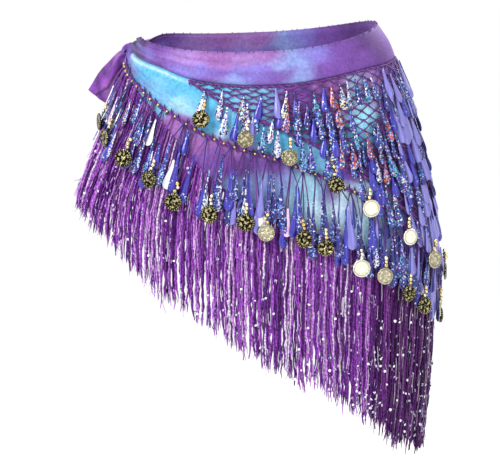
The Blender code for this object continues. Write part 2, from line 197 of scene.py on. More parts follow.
def unit(vectors):
    """The vectors' directions, each one long."""
    return vectors / np.linalg.norm(vectors, axis=-1, keepdims=True)


def form_normal(turn, drop):
    """The direction outwards from the cloth."""
    round_body = form_point(turn + 1, drop) - form_point(turn - 1, drop)
    down_body = form_point(turn, drop + 1) - form_point(turn, drop - 1)
    return unit(np.cross(round_body, down_body))


def on_form(turn, drop, lift):
    """Points lifted off the cloth's inner face. Below the hem they hang free."""
    turn, drop, lift = np.broadcast_arrays(
        np.asarray(turn, float), np.asarray(drop, float), np.asarray(lift, float)
    )
    normal = form_normal(turn, np.minimum(drop, cut(turn, "hem") - 1))
    return form_point(turn, drop) + normal * lift[..., None] * MM


# Lengths walked round the hips on the beaded chain's line, from the knot's front side.
LINE_TURNS = np.linspace(FRONT_END, BACK_END, 3501)
LINE = form_point(LINE_TURNS, cut(LINE_TURNS, "beads"))
LINE_WALKED = np.concatenate(
    [[0.0], np.cumsum(np.linalg.norm(np.diff(LINE[:, :2], axis=0), axis=1))]
)
ROUND = float(LINE_WALKED[-1])


def walk_of(turn):
    """How many metres from the knot's front side a turn lies."""
    return np.interp(-np.asarray(turn, float), -LINE_TURNS, LINE_WALKED)


def turn_at(walk):
    """The turn that lies so many metres from the knot's front side."""
    return np.interp(walk, LINE_WALKED, LINE_TURNS)


def ripple(a, b, phase):
    """A smooth uneven wave over two numbers, from about -1 to 1."""
    return (
        np.sin(1.0 * a + 1.7 * b + phase)
        + np.sin(2.3 * a - 1.1 * b + 2.1 * phase + 1.0)
        + 0.7 * np.sin(-1.6 * a + 3.1 * b + 3.7 * phase)
        + 0.5 * np.sin(4.1 * a + 2.7 * b + 5.3 * phase)
    ) / 2.6


# The velvet's small folds: heights and widths in millimetres, and reaches from the knot in degrees.
PULL_HEIGHT, PULL_REACH, PULL_WAVES = 2.0, 40, 3.6
ROLL_HEIGHT, ROLL_REACH, ROLL_DROP, ROLL_WIDTH = 3.0, 60, 4.2, 2.6
SOFT_HEIGHT = 1.3
PUCKER_HEIGHT, PUCKER_WIDTH, PUCKER_PITCH = 0.6, 9, 3.4


def fine_folds(turn, drop):
    """Small folds: pulled out of the knot, and puckers along the beaded chain."""
    band, beads, hem = cut(turn, "band"), cut(turn, "beads"), cut(turn, "hem")
    open_cloth = np.clip((drop - band + 2) / 8, 0, 1)
    share = drop / hem
    pull = np.exp(-knot_distance(turn) / PULL_REACH)
    wave = np.sin(2 * np.pi * PULL_WAVES * share + 1.3 * np.sin(turn * 0.06) + 0.6)
    tension = PULL_HEIGHT * pull * (0.5 + 0.5 * wave) ** 1.5
    below_band = np.exp(-(((drop - band - ROLL_DROP) / ROLL_WIDTH) ** 2))
    tension = tension + ROLL_HEIGHT * np.exp(-knot_distance(turn) / ROLL_REACH) * below_band
    sideways = walk_of(turn) * 1000
    soft = SOFT_HEIGHT * (0.5 + 0.5 * ripple(sideways / 34, drop / 55, 0.4))
    near_beads = PUCKER_HEIGHT * np.exp(-(((drop - beads) / PUCKER_WIDTH) ** 2))
    pucker = near_beads * (0.5 + 0.5 * np.sin(sideways / PUCKER_PITCH + np.sin(sideways / 21)))
    return open_cloth * (tension + soft * (1 - pull) + pucker)


def on_cloth(turn, drop, over):
    """Points over the velvet's outer face."""
    folds = fine_folds(turn, np.minimum(drop, cut(turn, "hem")))
    return on_form(turn, drop, CLOTH + folds + over)


# ---- colours and materials

PAINTS = {
    "indigo": "3E3872",
    "plum": "54306E",
    "violet": "7448A0",
    "orchid": "9660AA",
    "grape": "8642AC",
    "lilac": "A480C6",
    "periwinkle": "8276CC",
    "mist": "8A9CD8",
    "sky": "7CBEE6",
    "turquoise": "58B2DC",
    "ice": "A6DAEE",
    "crochet": "4E1E70",
    "magenta": "7C2E98",
    "ink": "15123C",
    "navy": "25217A",
    "royal": "3A34AC",
    "cobalt": "384CB4",
    "lavender": "827ED0",
    "rose": "D07CA8",
    "foam": "CCEEFF",
    "aqua": "A4EEFF",
    "silver": "DCDCEC",
    "white": "F8F6FF",
    "pink": "EAC4EC",
    "teal": "4AA4C4",
    "copper": "C4563C",
    "brass": "DCC078",
    "bead_gold": "EADCA8",
    "old_gold": "C8BD8C",
    "pale_gold": "FBF4DE",
    "yarn": "8C48AA",
    "yarn_bright": "B47EC8",
    "yarn_dark": "662E86",
    "yarn_deep": "481A60",
    "yarn_pale": "CCB8D4",
    "thread_silver": "DECEE6",
}
LIGHT_SHARE = 0.84  # the studio's light is a little over one


def paint(name):
    """A named colour in linear light."""
    channels = [int(PAINTS[name][i : i + 2], 16) / 255 for i in (0, 2, 4)]
    linear = [c / 12.92 if c <= 0.04045 else ((c + 0.055) / 1.055) ** 2.4 for c in channels]
    return [LIGHT_SHARE * c for c in linear]


def new_node(tree, kind, inputs, settings):
    """A node in a tree, its inputs linked to other nodes' outputs or set to plain values."""
    made = tree.nodes.new(kind)
    for key, value in settings.items():
        setattr(made, key, value)
    for key, value in dict(inputs).items():
        if isinstance(value, bpy.types.NodeSocket):
            tree.links.new(value, made.inputs[key])
        else:
            made.inputs[key].default_value = value
    return made


class Finish:
    """A procedural material in the making: its Principled node and its node tree."""

    def __init__(self, name, roughness, metallic=0.0):
        self.material = bpy.data.materials.new(name)
        self.material.use_nodes = True
        self.tree = self.material.node_tree
        self.surface = self.tree.nodes["Principled BSDF"]
        self.set("Roughness", roughness)
        self.set("Metallic", metallic)

    def set(self, socket, value):
        """A plain value on the surface."""
        self.surface.inputs[socket].default_value = value

    def node(self, kind, inputs=(), **settings):
        return new_node(self.tree, kind, inputs, settings)

    def link(self, output, socket):
        self.tree.links.new(output, self.surface.inputs[socket])

    def place(self):
        """The place on the object, in metres."""
        return self.node("ShaderNodeTexCoord").outputs["Object"]

    def attribute(self, name, output="Color"):
        return self.node("ShaderNodeAttribute", attribute_name=name).outputs[output]

    def noise(self, scale, detail=2.0, vector=None):
        inputs = {"Vector": vector or self.place(), "Scale": scale, "Detail": detail}
        return self.node("ShaderNodeTexNoise", inputs).outputs["Fac"]

    def math(self, operation, a, b=0.0):
        return self.node("ShaderNodeMath", {0: a, 1: b}, operation=operation).outputs[0]

    def ramp(self, value, low, high, start=0.0, end=1.0):
        inputs = {0: value, 1: low, 2: high, 3: start, 4: end}
        return self.node("ShaderNodeMapRange", inputs).outputs[0]

    def mix(self, share, a, b, blend="MIX"):
        inputs = {0: share, 6: a, 7: b}
        made = self.node("ShaderNodeMix", inputs, data_type="RGBA", blend_type=blend)
        return made.outputs[2]

    def dress(self, base, shade):
        """Give the surface a base colour, made lighter and darker by a shade."""
        grey = self.node("ShaderNodeCombineColor", {0: shade, 1: shade, 2: shade}).outputs[0]
        self.link(self.mix(1.0, base, grey, "MULTIPLY"), "Base Color")

    def bump(self, height, strength, distance):
        inputs = {"Height": height, "Strength": strength, "Distance": distance}
        self.link(self.node("ShaderNodeBump", inputs).outputs[0], "Normal")


def colour(name, alpha=1.0):
    """A named colour with its alpha."""
    return (*paint(name), alpha)


def velvet():
    """Tie-dyed velvet with a soft nap."""
    finish = Finish("velvet", 0.62)
    nap = finish.noise(1400.0, 3.0)
    crushed = finish.noise(330.0, 4.0)
    patch = finish.noise(45.0, 3.0)
    blotches = finish.math("ADD", finish.math("MULTIPLY", crushed, 1.6), patch)
    shade = finish.ramp(finish.math("ADD", nap, blotches), 1.3, 2.3, 0.68, 1.28)
    finish.dress(finish.attribute("dye"), shade)
    finish.bump(finish.math("ADD", nap, crushed), 0.35, 0.0009)
    finish.set("Sheen Weight", 0.2)
    finish.set("Sheen Roughness", 0.4)
    finish.set("Sheen Tint", (0.6, 0.42, 1.0, 1.0))
    finish.set("Specular IOR Level", 0.25)
    return finish.material


def thread():
    """Fuzzy twisted crochet thread, coloured by its tint."""
    finish = Finish("thread", 0.75)
    twist = finish.noise(1700.0, 2.0)
    finish.dress(finish.attribute("tint"), finish.ramp(twist, 0.3, 0.7, 0.65, 1.25))
    finish.bump(twist, 0.5, 0.0004)
    finish.set("Sheen Weight", 0.25)
    finish.set("Specular IOR Level", 0.3)
    return finish.material


PLY_TURNS = 1250.0  # radians of twist in a metre of yarn


def yarn():
    """Silky twisted fringe yarn, with painted glints and shade on the turns of its twist along each
    strand.
    """
    finish = Finish("yarn", 0.42)
    along = finish.attribute("along", "Fac")
    kink = finish.noise(420.0, 2.0)
    turns = finish.math("MULTIPLY", along, PLY_TURNS)
    turns = finish.math("ADD", turns, finish.math("MULTIPLY", kink, 14.0))
    # Painted glints and shade, bright and dark by turns along the twist.
    ply_glint_and_shade = finish.ramp(finish.math("SINE", turns), -1.0, 1.0, 0.6, 1.4)
    finish.dress(finish.attribute("tint"), ply_glint_and_shade)
    finish.set("Sheen Weight", 0.05)
    finish.set("Sheen Tint", (0.7, 0.4, 0.9, 1.0))
    finish.set("Specular IOR Level", 0.15)
    finish.set("Specular Tint", (0.8, 0.6, 1.0, 1.0))
    return finish.material


# The flecks of a glittering spangle: where each paint starts, from 0 to 1.
FLECKS = (
    (0.0, "ink"),
    (0.22, "navy"),
    (0.38, "royal"),
    (0.5, "plum"),
    (0.57, "cobalt"),
    (0.66, "sky"),
    (0.75, "silver"),
    (0.81, "ink"),
    (0.88, "lilac"),
    (0.925, "teal"),
    (0.955, "pale_gold"),
    (0.98, "rose"),
)


FLECK_SCALE = 760.0  # flecks in a metre


def film():
    """Spangle film: plain where the tint's alpha is 0, and glittering in flecks where it is 1."""
    finish = Finish("spangle_film", 0.3, 0.35)
    inputs = {"Vector": finish.place(), "Scale": FLECK_SCALE}
    cells = finish.node("ShaderNodeTexVoronoi", inputs, feature="F1")
    pick = finish.node("ShaderNodeSeparateColor", {0: cells.outputs["Color"]})
    fleck = finish.node("ShaderNodeValToRGB", {0: pick.outputs[0]})
    ramp = fleck.color_ramp
    ramp.interpolation = "CONSTANT"
    ramp.elements.remove(ramp.elements[1])
    ramp.elements[0].color = colour(FLECKS[0][1])
    for place, name in FLECKS[1:]:
        ramp.elements.new(place).color = colour(name)
    tint = finish.attribute("tint")
    amount = finish.attribute("tint", "Alpha")
    share = finish.math("LESS_THAN", pick.outputs[1], amount)
    finish.link(finish.mix(share, tint, fleck.outputs[0]), "Base Color")
    finish.set("Coat Weight", 0.35)
    finish.set("Coat Roughness", 0.2)
    return finish.material


def gold_metal():
    """The beads' bright metal, a little worn."""
    finish = Finish("gold_metal", 0.22, 1.0)
    wear = finish.ramp(finish.noise(900.0, 3.0), 0.35, 0.65, 0.75, 1.15)
    finish.dress(finish.attribute("tint"), wear)
    return finish.material


COIN_PETALS, COIN_RIM_BEADS = 6.0, 22.0
COIN_RING_PACE = 27.0  # radians of the rings' wave across one coin's width


def coin_metal():
    """Stamped metal: a rosette inside a beaded rim, dark in its hollows, and on plain coins a
    painted shade in the groove inside the rim.
    """
    finish = Finish("coin_metal", 0.28, 1.0)
    face = finish.node("ShaderNodeSeparateXYZ", {0: finish.attribute("local", "Vector")})
    across, up = face.outputs[0], face.outputs[2]
    angle = finish.math("ARCTAN2", up, across)
    squares = [finish.math("MULTIPLY", part, part) for part in (across, up)]
    radius = finish.math("SQRT", finish.math("ADD", *squares))
    petals = finish.math("SINE", finish.math("MULTIPLY", angle, COIN_PETALS))
    rings = finish.math("SINE", finish.math("MULTIPLY", radius, COIN_RING_PACE))
    worn = finish.ramp(finish.noise(420.0, 2.0), 0.3, 0.7, -1.1, 1.1)
    beads = finish.math("SINE", finish.math("MULTIPLY", angle, COIN_RIM_BEADS))
    beads = finish.math("MULTIPLY", beads, 0.42)
    beads = finish.math("ADD", beads, finish.math("MULTIPLY", worn, 0.5))
    beads = finish.math("ADD", beads, 0.18)
    rim = finish.ramp(radius, 0.36, 0.4)
    embossed = [finish.math("MULTIPLY", wave, 0.45) for wave in (petals, rings)]
    pattern = finish.math("ADD", finish.math("ADD", *embossed), worn)
    height = finish.node("ShaderNodeMix", {0: rim, 2: pattern, 3: beads}).outputs[0]
    relief = finish.attribute("tint", "Alpha")
    dark = finish.ramp(height, 0.05, 0.95, 0.015, 0.95)
    # Painted shade in the groove inside the raised rim, shown on the plain coins.
    inside, outside = finish.ramp(radius, 0.34, 0.4), finish.ramp(radius, 0.47, 0.42)
    groove = finish.math("MULTIPLY", inside, outside)
    smooth = finish.ramp(groove, 0.0, 1.0, 1.0, 0.5)
    shade = finish.node("ShaderNodeMix", {0: relief, 2: smooth, 3: dark}).outputs[0]
    finish.dress(finish.attribute("tint"), shade)
    finish.bump(height, 0.5, 0.0004)
    return finish.material


VELVET, THREAD, YARN, FILM = velvet(), thread(), yarn(), film()
GOLD, COIN = gold_metal(), coin_metal()

# ---- dye

# Soft clouds of dye: where each lies, how far it spreads in degrees and millimetres, its paint.
DyeCloud = namedtuple("DyeCloud", "turn drop wide tall paint")
BAND_DYE = [
    # The first three clouds, dark at the top edge next to the knot, are painted shade where the band
    # bunches into the knot.
    DyeCloud(176, 6, 8, 7, "indigo"),
    DyeCloud(160, 2, 7, 4, "yarn_deep"),
    DyeCloud(144, 1, 8, 3, "yarn_dark"),
    DyeCloud(161, 8, 6, 4, "periwinkle"),
    DyeCloud(157, 14, 7, 4, "plum"),
    DyeCloud(147, 12, 7, 5, "periwinkle"),
    DyeCloud(138, 5, 13, 10, "violet"),
    DyeCloud(136, 18, 12, 6, "violet"),
    DyeCloud(124, 7, 12, 9, "lilac"),
    DyeCloud(118, 22, 12, 7, "periwinkle"),
    DyeCloud(108, 6, 12, 9, "orchid"),
    DyeCloud(107, 26, 7, 7, "violet"),
    DyeCloud(101, 29, 6, 5, "mist"),
    DyeCloud(96, 8, 7, 7, "lilac"),
    DyeCloud(93, 22, 7, 7, "periwinkle"),
    DyeCloud(89, 6, 6, 6, "orchid"),
    DyeCloud(85, 24, 7, 7, "violet"),
    DyeCloud(79, 12, 7, 10, "mist"),
    DyeCloud(76, 28, 6, 6, "mist"),
    DyeCloud(69, 8, 7, 10, "periwinkle"),
    DyeCloud(67, 26, 7, 8, "violet"),
    DyeCloud(56, 10, 12, 10, "violet"),
    DyeCloud(46, 24, 13, 9, "violet"),
    DyeCloud(32, 16, 17, 12, "plum"),
    DyeCloud(15, 16, 20, 12, "violet"),
]
PANEL_DYE = [
    DyeCloud(182, 18, 8, 8, "sky"),
    DyeCloud(172, 27, 8, 5, "mist"),
    DyeCloud(160, 21, 10, 5, "sky"),
    DyeCloud(157, 31, 8, 5, "mist"),
    DyeCloud(146, 32, 9, 10, "turquoise"),
    DyeCloud(134, 44, 8, 10, "sky"),
    DyeCloud(126, 40, 7, 8, "turquoise"),
    DyeCloud(120, 58, 7, 8, "ice"),
    DyeCloud(110, 52, 7, 10, "turquoise"),
    DyeCloud(102, 74, 6, 9, "turquoise"),
    DyeCloud(98, 84, 5, 6, "ice"),
    DyeCloud(94, 60, 7, 14, "sky"),
    DyeCloud(84, 92, 6, 12, "turquoise"),
    DyeCloud(80, 60, 6, 12, "violet"),
    DyeCloud(72, 112, 6, 12, "sky"),
    DyeCloud(62, 62, 7, 14, "orchid"),
    DyeCloud(66, 92, 6, 12, "plum"),
    DyeCloud(51, 74, 7, 20, "aqua"),
    DyeCloud(53, 102, 5, 10, "turquoise"),
    DyeCloud(44, 62, 8, 16, "lilac"),
    DyeCloud(56, 128, 7, 12, "violet"),
    DyeCloud(38, 118, 8, 26, "plum"),
    DyeCloud(20, 90, 12, 40, "violet"),
    DyeCloud(18, 190, 12, 36, "plum"),
    DyeCloud(150, 46, 8, 6, "mist"),
    DyeCloud(132, 62, 8, 8, "sky"),
    DyeCloud(122, 78, 6, 8, "orchid"),
    DyeCloud(112, 98, 6, 10, "orchid"),
    DyeCloud(104, 112, 5, 9, "violet"),
    DyeCloud(99, 102, 5, 9, "orchid"),
    DyeCloud(94, 118, 5, 9, "violet"),
    DyeCloud(88, 122, 5, 9, "violet"),
    DyeCloud(89, 142, 6, 12, "mist"),
    DyeCloud(83, 138, 5, 10, "mist"),
    DyeCloud(76, 150, 5, 14, "ice"),
    DyeCloud(69, 152, 4, 10, "violet"),
    DyeCloud(66, 176, 7, 18, "foam"),
    DyeCloud(58, 174, 7, 18, "foam"),
    DyeCloud(50, 190, 6, 14, "ice"),
    DyeCloud(43, 210, 6, 14, "mist"),
    DyeCloud(34, 228, 7, 18, "violet"),
]


def hidden_side(clouds):
    """The same dyeing on the back, moved so that the two sides aren't mirrored."""
    return [
        DyeCloud(-(place.turn * 0.97 + 4), place.drop * 0.98 + 2, *place[2:]) for place in clouds
    ]


def dye(clouds, turns, drops, folds):
    """The dye's colour at each place, run together like wet ink, with painted shade in the hollows
    between folds and painted light on their ridges.
    """
    # Painted light and shade: brighter where the folds stand out, darker in their hollows.
    painted_fold_light = np.clip((folds - np.median(folds)) / 1.7, -1, 1)
    walk = walk_of(turns) * 1000
    turns = turns + 1.6 * ripple(walk / 16, drops / 13, 0.3)
    drops = drops + 3.5 * ripple(walk / 13, drops / 17, 1.9)
    total, weight = np.zeros((*turns.shape, 3)), np.zeros(turns.shape)
    for cloud in clouds + hidden_side(clouds):
        across = (turns - cloud.turn) / cloud.wide
        down = (drops - cloud.drop) / cloud.tall
        near = np.exp(-1.4 * (across**2 + down**2)) + 1e-9 / (0.01 + across**2 + down**2)
        total += near[..., None] * paint(cloud.paint)
        weight += near
    return total / weight[..., None] * (1 + 0.34 * painted_fold_light[..., None])


# ---- meshes


def placed(name, data):
    """A new object in the scene."""
    made = bpy.data.objects.new(name, data)
    bpy.context.scene.collection.objects.link(made)
    return made


def mesh_piece(name, verts, faces, finish, smooth=True):
    """A piece of the given points and faces."""
    mesh = bpy.data.meshes.new(name)
    mesh.from_pydata(np.asarray(verts).tolist(), [], faces)
    if finish:
        mesh.materials.append(finish)
    mesh.polygons.foreach_set("use_smooth", [smooth] * len(mesh.polygons))
    mesh.update()
    return placed(name, mesh)


def grid_faces(columns, rows, closed=False):
    """Quads of a grid of points numbered column by column, the rows closed into rings or not."""
    faces = []
    for column in range(columns - 1):
        near, far = column * rows, (column + 1) * rows
        for row in range(rows if closed else rows - 1):
            after = (row + 1) % rows
            faces.append((near + row, near + after, far + after, far + row))
    return faces


def store(mesh, name, kind, values):
    """An attribute on a mesh's points."""
    field = {"FLOAT": "value", "FLOAT_VECTOR": "vector", "FLOAT_COLOR": "color"}[kind]
    layer = mesh.attributes.new(name, kind, "POINT")
    layer.data.foreach_set(field, np.asarray(values, np.float32).ravel())


def store_dye(piece, colours):
    """The velvet's dye, on the piece's points."""
    colours = np.asarray(colours).reshape(-1, 3)
    store(piece.data, "dye", "FLOAT_COLOR", np.column_stack([colours, np.ones(len(colours))]))


def plain(piece, drop_layers=()):
    """The piece with its modifiers worked into its mesh."""
    bpy.context.view_layer.update()
    seen = piece.evaluated_get(bpy.context.evaluated_depsgraph_get())
    mesh = bpy.data.meshes.new_from_object(seen)
    mesh.name = piece.name
    piece.modifiers.clear()
    piece.data = mesh
    for name in drop_layers:
        if name in mesh.attributes:
            mesh.attributes.remove(mesh.attributes[name])
    return piece


def thickened(piece, wall, offset):
    """The piece given a wall in millimetres, inwards where offset is -1 and outwards where 1."""
    made = piece.modifiers.new("wall", "SOLIDIFY")
    made.thickness = wall * MM
    made.offset = offset
    made.use_even_offset = False
    return plain(piece)


# ---- geometry node trees


class Tree:
    """A Geometry Nodes tree in the making, with named inputs."""

    KINDS = {
        "Sides": "NodeSocketInt",
        "Material": "NodeSocketMaterial",
        "Piece": "NodeSocketObject",
        "Girth": "NodeSocketFloat",
    }

    def __init__(self, name, *inputs):
        self.group = bpy.data.node_groups.new(name, "GeometryNodeTree")
        face = self.group.interface
        geometry = "NodeSocketGeometry"
        face.new_socket(name="Geometry", in_out="INPUT", socket_type=geometry)
        face.new_socket(name="Geometry", in_out="OUTPUT", socket_type=geometry)
        self.names = {}
        for label in inputs:
            made = face.new_socket(name=label, in_out="INPUT", socket_type=self.KINDS[label])
            self.names[label] = made.identifier
        self.entry = self.group.nodes.new("NodeGroupInput")
        self.exit = self.group.nodes.new("NodeGroupOutput")

    def given(self, label):
        """One of the tree's named inputs."""
        return self.entry.outputs[label]

    def node(self, kind, inputs=(), **settings):
        return new_node(self.group, kind, inputs, settings)

    def named(self, name, kind):
        """An attribute of the points."""
        made = self.node("GeometryNodeInputNamedAttribute", {"Name": name}, data_type=kind)
        return next(o for o in made.outputs if o.name == "Attribute" and o.enabled)

    def finish(self, geometry):
        """Shade, realise and give the material, and end the tree."""
        smooth = self.node("GeometryNodeSetShadeSmooth", {"Geometry": geometry})
        real = self.node("GeometryNodeRealizeInstances", {"Geometry": smooth.outputs[0]})
        inputs = {"Geometry": real.outputs[0], "Material": self.given("Material")}
        dressed = self.node("GeometryNodeSetMaterial", inputs)
        self.group.links.new(dressed.outputs[0], self.exit.inputs[0])

    def use(self, piece, **values):
        """Put the tree on a piece and work it into the mesh."""
        made = piece.modifiers.new(self.group.name, "NODES")
        made.node_group = self.group
        for label, value in values.items():
            made[self.names[label]] = value
        return plain(piece, ("turned", "size", "girth"))


def cord_tree():
    """Lines of points become round cords, as thick as each point's girth times the input."""
    tree = Tree("cords", "Sides", "Girth", "Material")
    lines = tree.node("GeometryNodeMeshToCurve", {"Mesh": tree.given("Geometry")})
    inputs = {"Resolution": tree.given("Sides"), "Radius": 1.0}
    ring = tree.node("GeometryNodeCurvePrimitiveCircle", inputs)
    inputs = {0: tree.named("girth", "FLOAT"), 1: tree.given("Girth")}
    girth = tree.node("ShaderNodeMath", inputs, operation="MULTIPLY")
    inputs = {
        "Curve": lines.outputs[0],
        "Profile Curve": ring.outputs[0],
        "Scale": girth.outputs[0],
        "Fill Caps": True,
    }
    tube = tree.node("GeometryNodeCurveToMesh", inputs)
    tree.finish(tube.outputs[0])
    return tree


def hung_tree():
    """A copy of one small piece on every point, turned and sized as the point says."""
    tree = Tree("hung pieces", "Piece", "Material")
    piece = tree.node("GeometryNodeObjectInfo", {"Object": tree.given("Piece")})
    turned = tree.node("FunctionNodeEulerToRotation", {0: tree.named("turned", "FLOAT_VECTOR")})
    inputs = {
        "Points": tree.given("Geometry"),
        "Instance": piece.outputs["Geometry"],
        "Rotation": turned.outputs[0],
        "Scale": tree.named("size", "FLOAT_VECTOR"),
    }
    copies = tree.node("GeometryNodeInstanceOnPoints", inputs)
    tree.finish(copies.outputs[0])
    return tree


CORD_TREE, HUNG_TREE = cord_tree(), hung_tree()


class Cords:
    """Lines of points to be made into cords in one go."""

    def __init__(self):
        self.verts, self.edges, self.girths, self.tints, self.alongs = [], [], [], [], []

    def add(self, points, girth, tint):
        """A line of points, its girth one radius in metres or one for each point."""
        first, count = len(self.verts), len(points)
        points = np.asarray(points)
        self.verts += points.tolist()
        self.edges += [(first + i, first + i + 1) for i in range(count - 1)]
        self.girths += np.broadcast_to(girth, count).tolist()
        self.tints += [tint] * count
        steps = np.linalg.norm(np.diff(points, axis=0), axis=1)
        self.alongs += np.concatenate([[0.0], np.cumsum(steps)]).tolist()

    def build(self, name, finish, sides=4):
        """One piece of all the lines, as cords with so many sides."""
        mesh = bpy.data.meshes.new(name)
        mesh.from_pydata(self.verts, self.edges, [])
        store(mesh, "girth", "FLOAT", self.girths)
        store(mesh, "tint", "FLOAT_COLOR", self.tints)
        if finish is YARN:
            store(mesh, "along", "FLOAT", self.alongs)
        return CORD_TREE.use(placed(name, mesh), Sides=sides, Girth=1.0, Material=finish)


class Hangings:
    """Copies of one small piece, hung at many places."""

    def __init__(self):
        self.places, self.turned, self.sizes, self.tints = [], [], [], []

    def add(self, root, foot, out, size, tint, yaw=0.0):
        """Hang one from root towards foot, its face outwards, then turned by yaw in degrees.
        Its size is its width, thickness and height in metres."""
        up = (Vector(root) - Vector(foot)).normalized()
        back = -Vector(out)
        back = (back - up * back.dot(up)).normalized()
        frame_of = Matrix((back.cross(up), back, up)).transposed()
        spin = Matrix.Rotation(math.radians(yaw), 3, "Z")
        self.places.append(list(root))
        self.turned.append(list((frame_of @ spin).to_euler()))
        self.sizes.append(size)
        self.tints.append(tint)

    def build(self, name, sample, finish):
        """One piece of all the copies."""
        mesh = bpy.data.meshes.new(name)
        mesh.from_pydata(self.places, [], [])
        store(mesh, "turned", "FLOAT_VECTOR", self.turned)
        store(mesh, "size", "FLOAT_VECTOR", self.sizes)
        store(mesh, "tint", "FLOAT_COLOR", self.tints)
        return HUNG_TREE.use(placed(name, mesh), Piece=sample, Material=finish)


# ---- small pieces, one metre wide and high, hung from their top


def sample_piece(name, verts, faces):
    """A piece to copy, each point keeping its place on it for the metal's pattern."""
    piece = mesh_piece(name, verts, faces, None)
    store(piece.data, "local", "FLOAT_VECTOR", verts)
    return piece


# A spangle's outline: how far up from its top, and half its width there.
SHORT_DROP = (
    (0.0, 0.07),
    (-0.05, 0.13),
    (-0.12, 0.11),
    (-0.35, 0.22),
    (-0.6, 0.38),
    (-0.78, 0.49),
    (-0.9, 0.44),
    (-0.97, 0.26),
    (-1.0, 0.08),
)
LONG_DROP = (
    (0.0, 0.08),
    (-0.25, 0.12),
    (-0.45, 0.19),
    (-0.65, 0.31),
    (-0.8, 0.43),
    (-0.9, 0.47),
    (-0.96, 0.36),
    (-1.0, 0.1),
)


def drop_spangle(name, stations):
    """A drop of film, narrow at its top and round at its foot, a little dished."""
    verts = []
    for up, half in stations:
        ring = ((-half, -0.4), (0, -1.6), (half, -0.4), (half, 0.4), (0, -0.8), (-half, 0.4))
        verts += [(x, y, up) for x, y in ring]
    faces = grid_faces(len(stations), 6, closed=True)
    last = 6 * (len(stations) - 1)
    faces += [(0, 5, 4, 3, 2, 1), tuple(last + i for i in range(6))]
    return sample_piece(name, verts, faces)


def round_faces(rings, sides):
    """Faces from a middle point, numbered 0, to a first ring of points, and on to the last."""
    faces = [(0, 1 + side, 1 + (side + 1) % sides) for side in range(sides)]
    for ring in range(rings - 1):
        near, far = 1 + ring * sides, 1 + (ring + 1) * sides
        for side in range(sides):
            after = (side + 1) % sides
            faces.append((near + side, far + side, far + after, near + after))
    return faces


def disc(name, rings, sides):
    """A round piece about its middle, facing -Y: rings are each a radius and a place along Y."""
    verts = [(0, rings[0][1], 0)]
    for radius, place in rings:
        for side in range(sides):
            angle = 2 * math.pi * side / sides
            verts.append((radius * math.cos(angle), place, radius * math.sin(angle)))
    faces = round_faces(len(rings), sides)
    last = 1 + (len(rings) - 1) * sides
    faces.append(tuple(last + (sides - side) % sides for side in range(sides)))
    return sample_piece(name, verts, faces)


def bead():
    """A small round bead with eight sides."""
    sides, levels = 8, 5
    verts = [(0, 0, 0.5)]
    for level in range(1, levels):
        tilt = math.pi * level / levels
        radius, up = 0.5 * math.sin(tilt), 0.5 * math.cos(tilt)
        for side in range(sides):
            angle = 2 * math.pi * side / sides
            verts.append((radius * math.cos(angle), radius * math.sin(angle), up))
    verts.append((0, 0, -0.5))
    faces = round_faces(levels - 1, sides)
    last = 1 + (levels - 2) * sides
    foot = len(verts) - 1
    faces += [(last + side, foot, last + (side + 1) % sides) for side in range(sides)]
    return sample_piece("bead_sample", verts, faces)


# Each ring's radius, in widths, and its place from back to front, in thicknesses: the front is
# negative.
COIN_RINGS = ((0.12, -1.5), (0.2, -0.9), (0.38, -0.8), (0.43, -1.5), (0.5, -0.9), (0.5, 0.5))
SEQUIN_RINGS = ((0.25, -0.2), (0.5, -0.5), (0.5, 0.5))
DROP = drop_spangle("short_drop_sample", SHORT_DROP)
LONG = drop_spangle("long_drop_sample", LONG_DROP)
COIN_DISC = disc("coin_sample", COIN_RINGS, 24)
SEQUIN = disc("sequin_sample", SEQUIN_RINGS, 7)
BEAD = bead()
SAMPLES = (DROP, LONG, COIN_DISC, SEQUIN, BEAD)

# ---- the velvet


PANEL_COLUMNS, PANEL_ROWS = 461, 47
PANEL_TOP, PANEL_WALL = 2, 1.1  # the drop of its top edge, and its thickness


def panel_dye(turns, drops, folds):
    """The panel's dye, with painted shade in its long creases and where it turns away to the knot,
    and a painted highlight along the fold under the band.
    """
    below, above = dye(PANEL_DYE, turns, drops, folds), dye(BAND_DYE, turns, drops, folds)
    # Painted shade of the long creases out of the knot, drawn towards royal blue.
    painted_shading = np.clip(streak_shade(turns, drops), 0, 1)[..., None]
    below = below + (np.array(paint("royal")) - below) * 0.55 * painted_shading
    # Painted shade where the panel turns away towards the knot.
    below = below * (1 - 0.5 * near_knot(turns))[..., None]
    # A painted highlight along the fold just under the band, fading out far from the knot.
    ridge_highlight = 0.7 * np.exp(-(((drops - cut(turns, "band") - 3.6) / 1.4) ** 2))
    ridge_highlight = ridge_highlight * np.clip(4 - knot_distance(turns) / 22, 0, 1)
    below = below + (np.array(paint("foam")) - below) * ridge_highlight[..., None]
    under_band = np.clip(cut(turns, "band") - drops, 0, 1)[..., None]
    return below * (1 - under_band) + above * under_band


def add_panel():
    """The triangle of velvet round the hips, from under the band to the hem."""
    turns = turn_at(np.linspace(0, ROUND, PANEL_COLUMNS))[:, None] * np.ones(PANEL_ROWS)
    drops = PANEL_TOP + (cut(turns, "hem") - PANEL_TOP) * np.linspace(0, 1, PANEL_ROWS)
    folds = fine_folds(turns, drops)
    points = on_form(turns, drops, CLOTH + folds).reshape(-1, 3)
    faces = grid_faces(PANEL_COLUMNS, PANEL_ROWS)
    piece = mesh_piece("velvet_panel", points, faces, VELVET)
    store_dye(piece, panel_dye(turns, drops, folds))
    return thickened(piece, PANEL_WALL, -1.0)


def knot_pull(turn, reach):
    """How strongly the cloth's ends are drawn in, fading over so many degrees from the knot."""
    return np.exp(-np.maximum(knot_distance(turn) - TIE_GAP, 0) / reach)


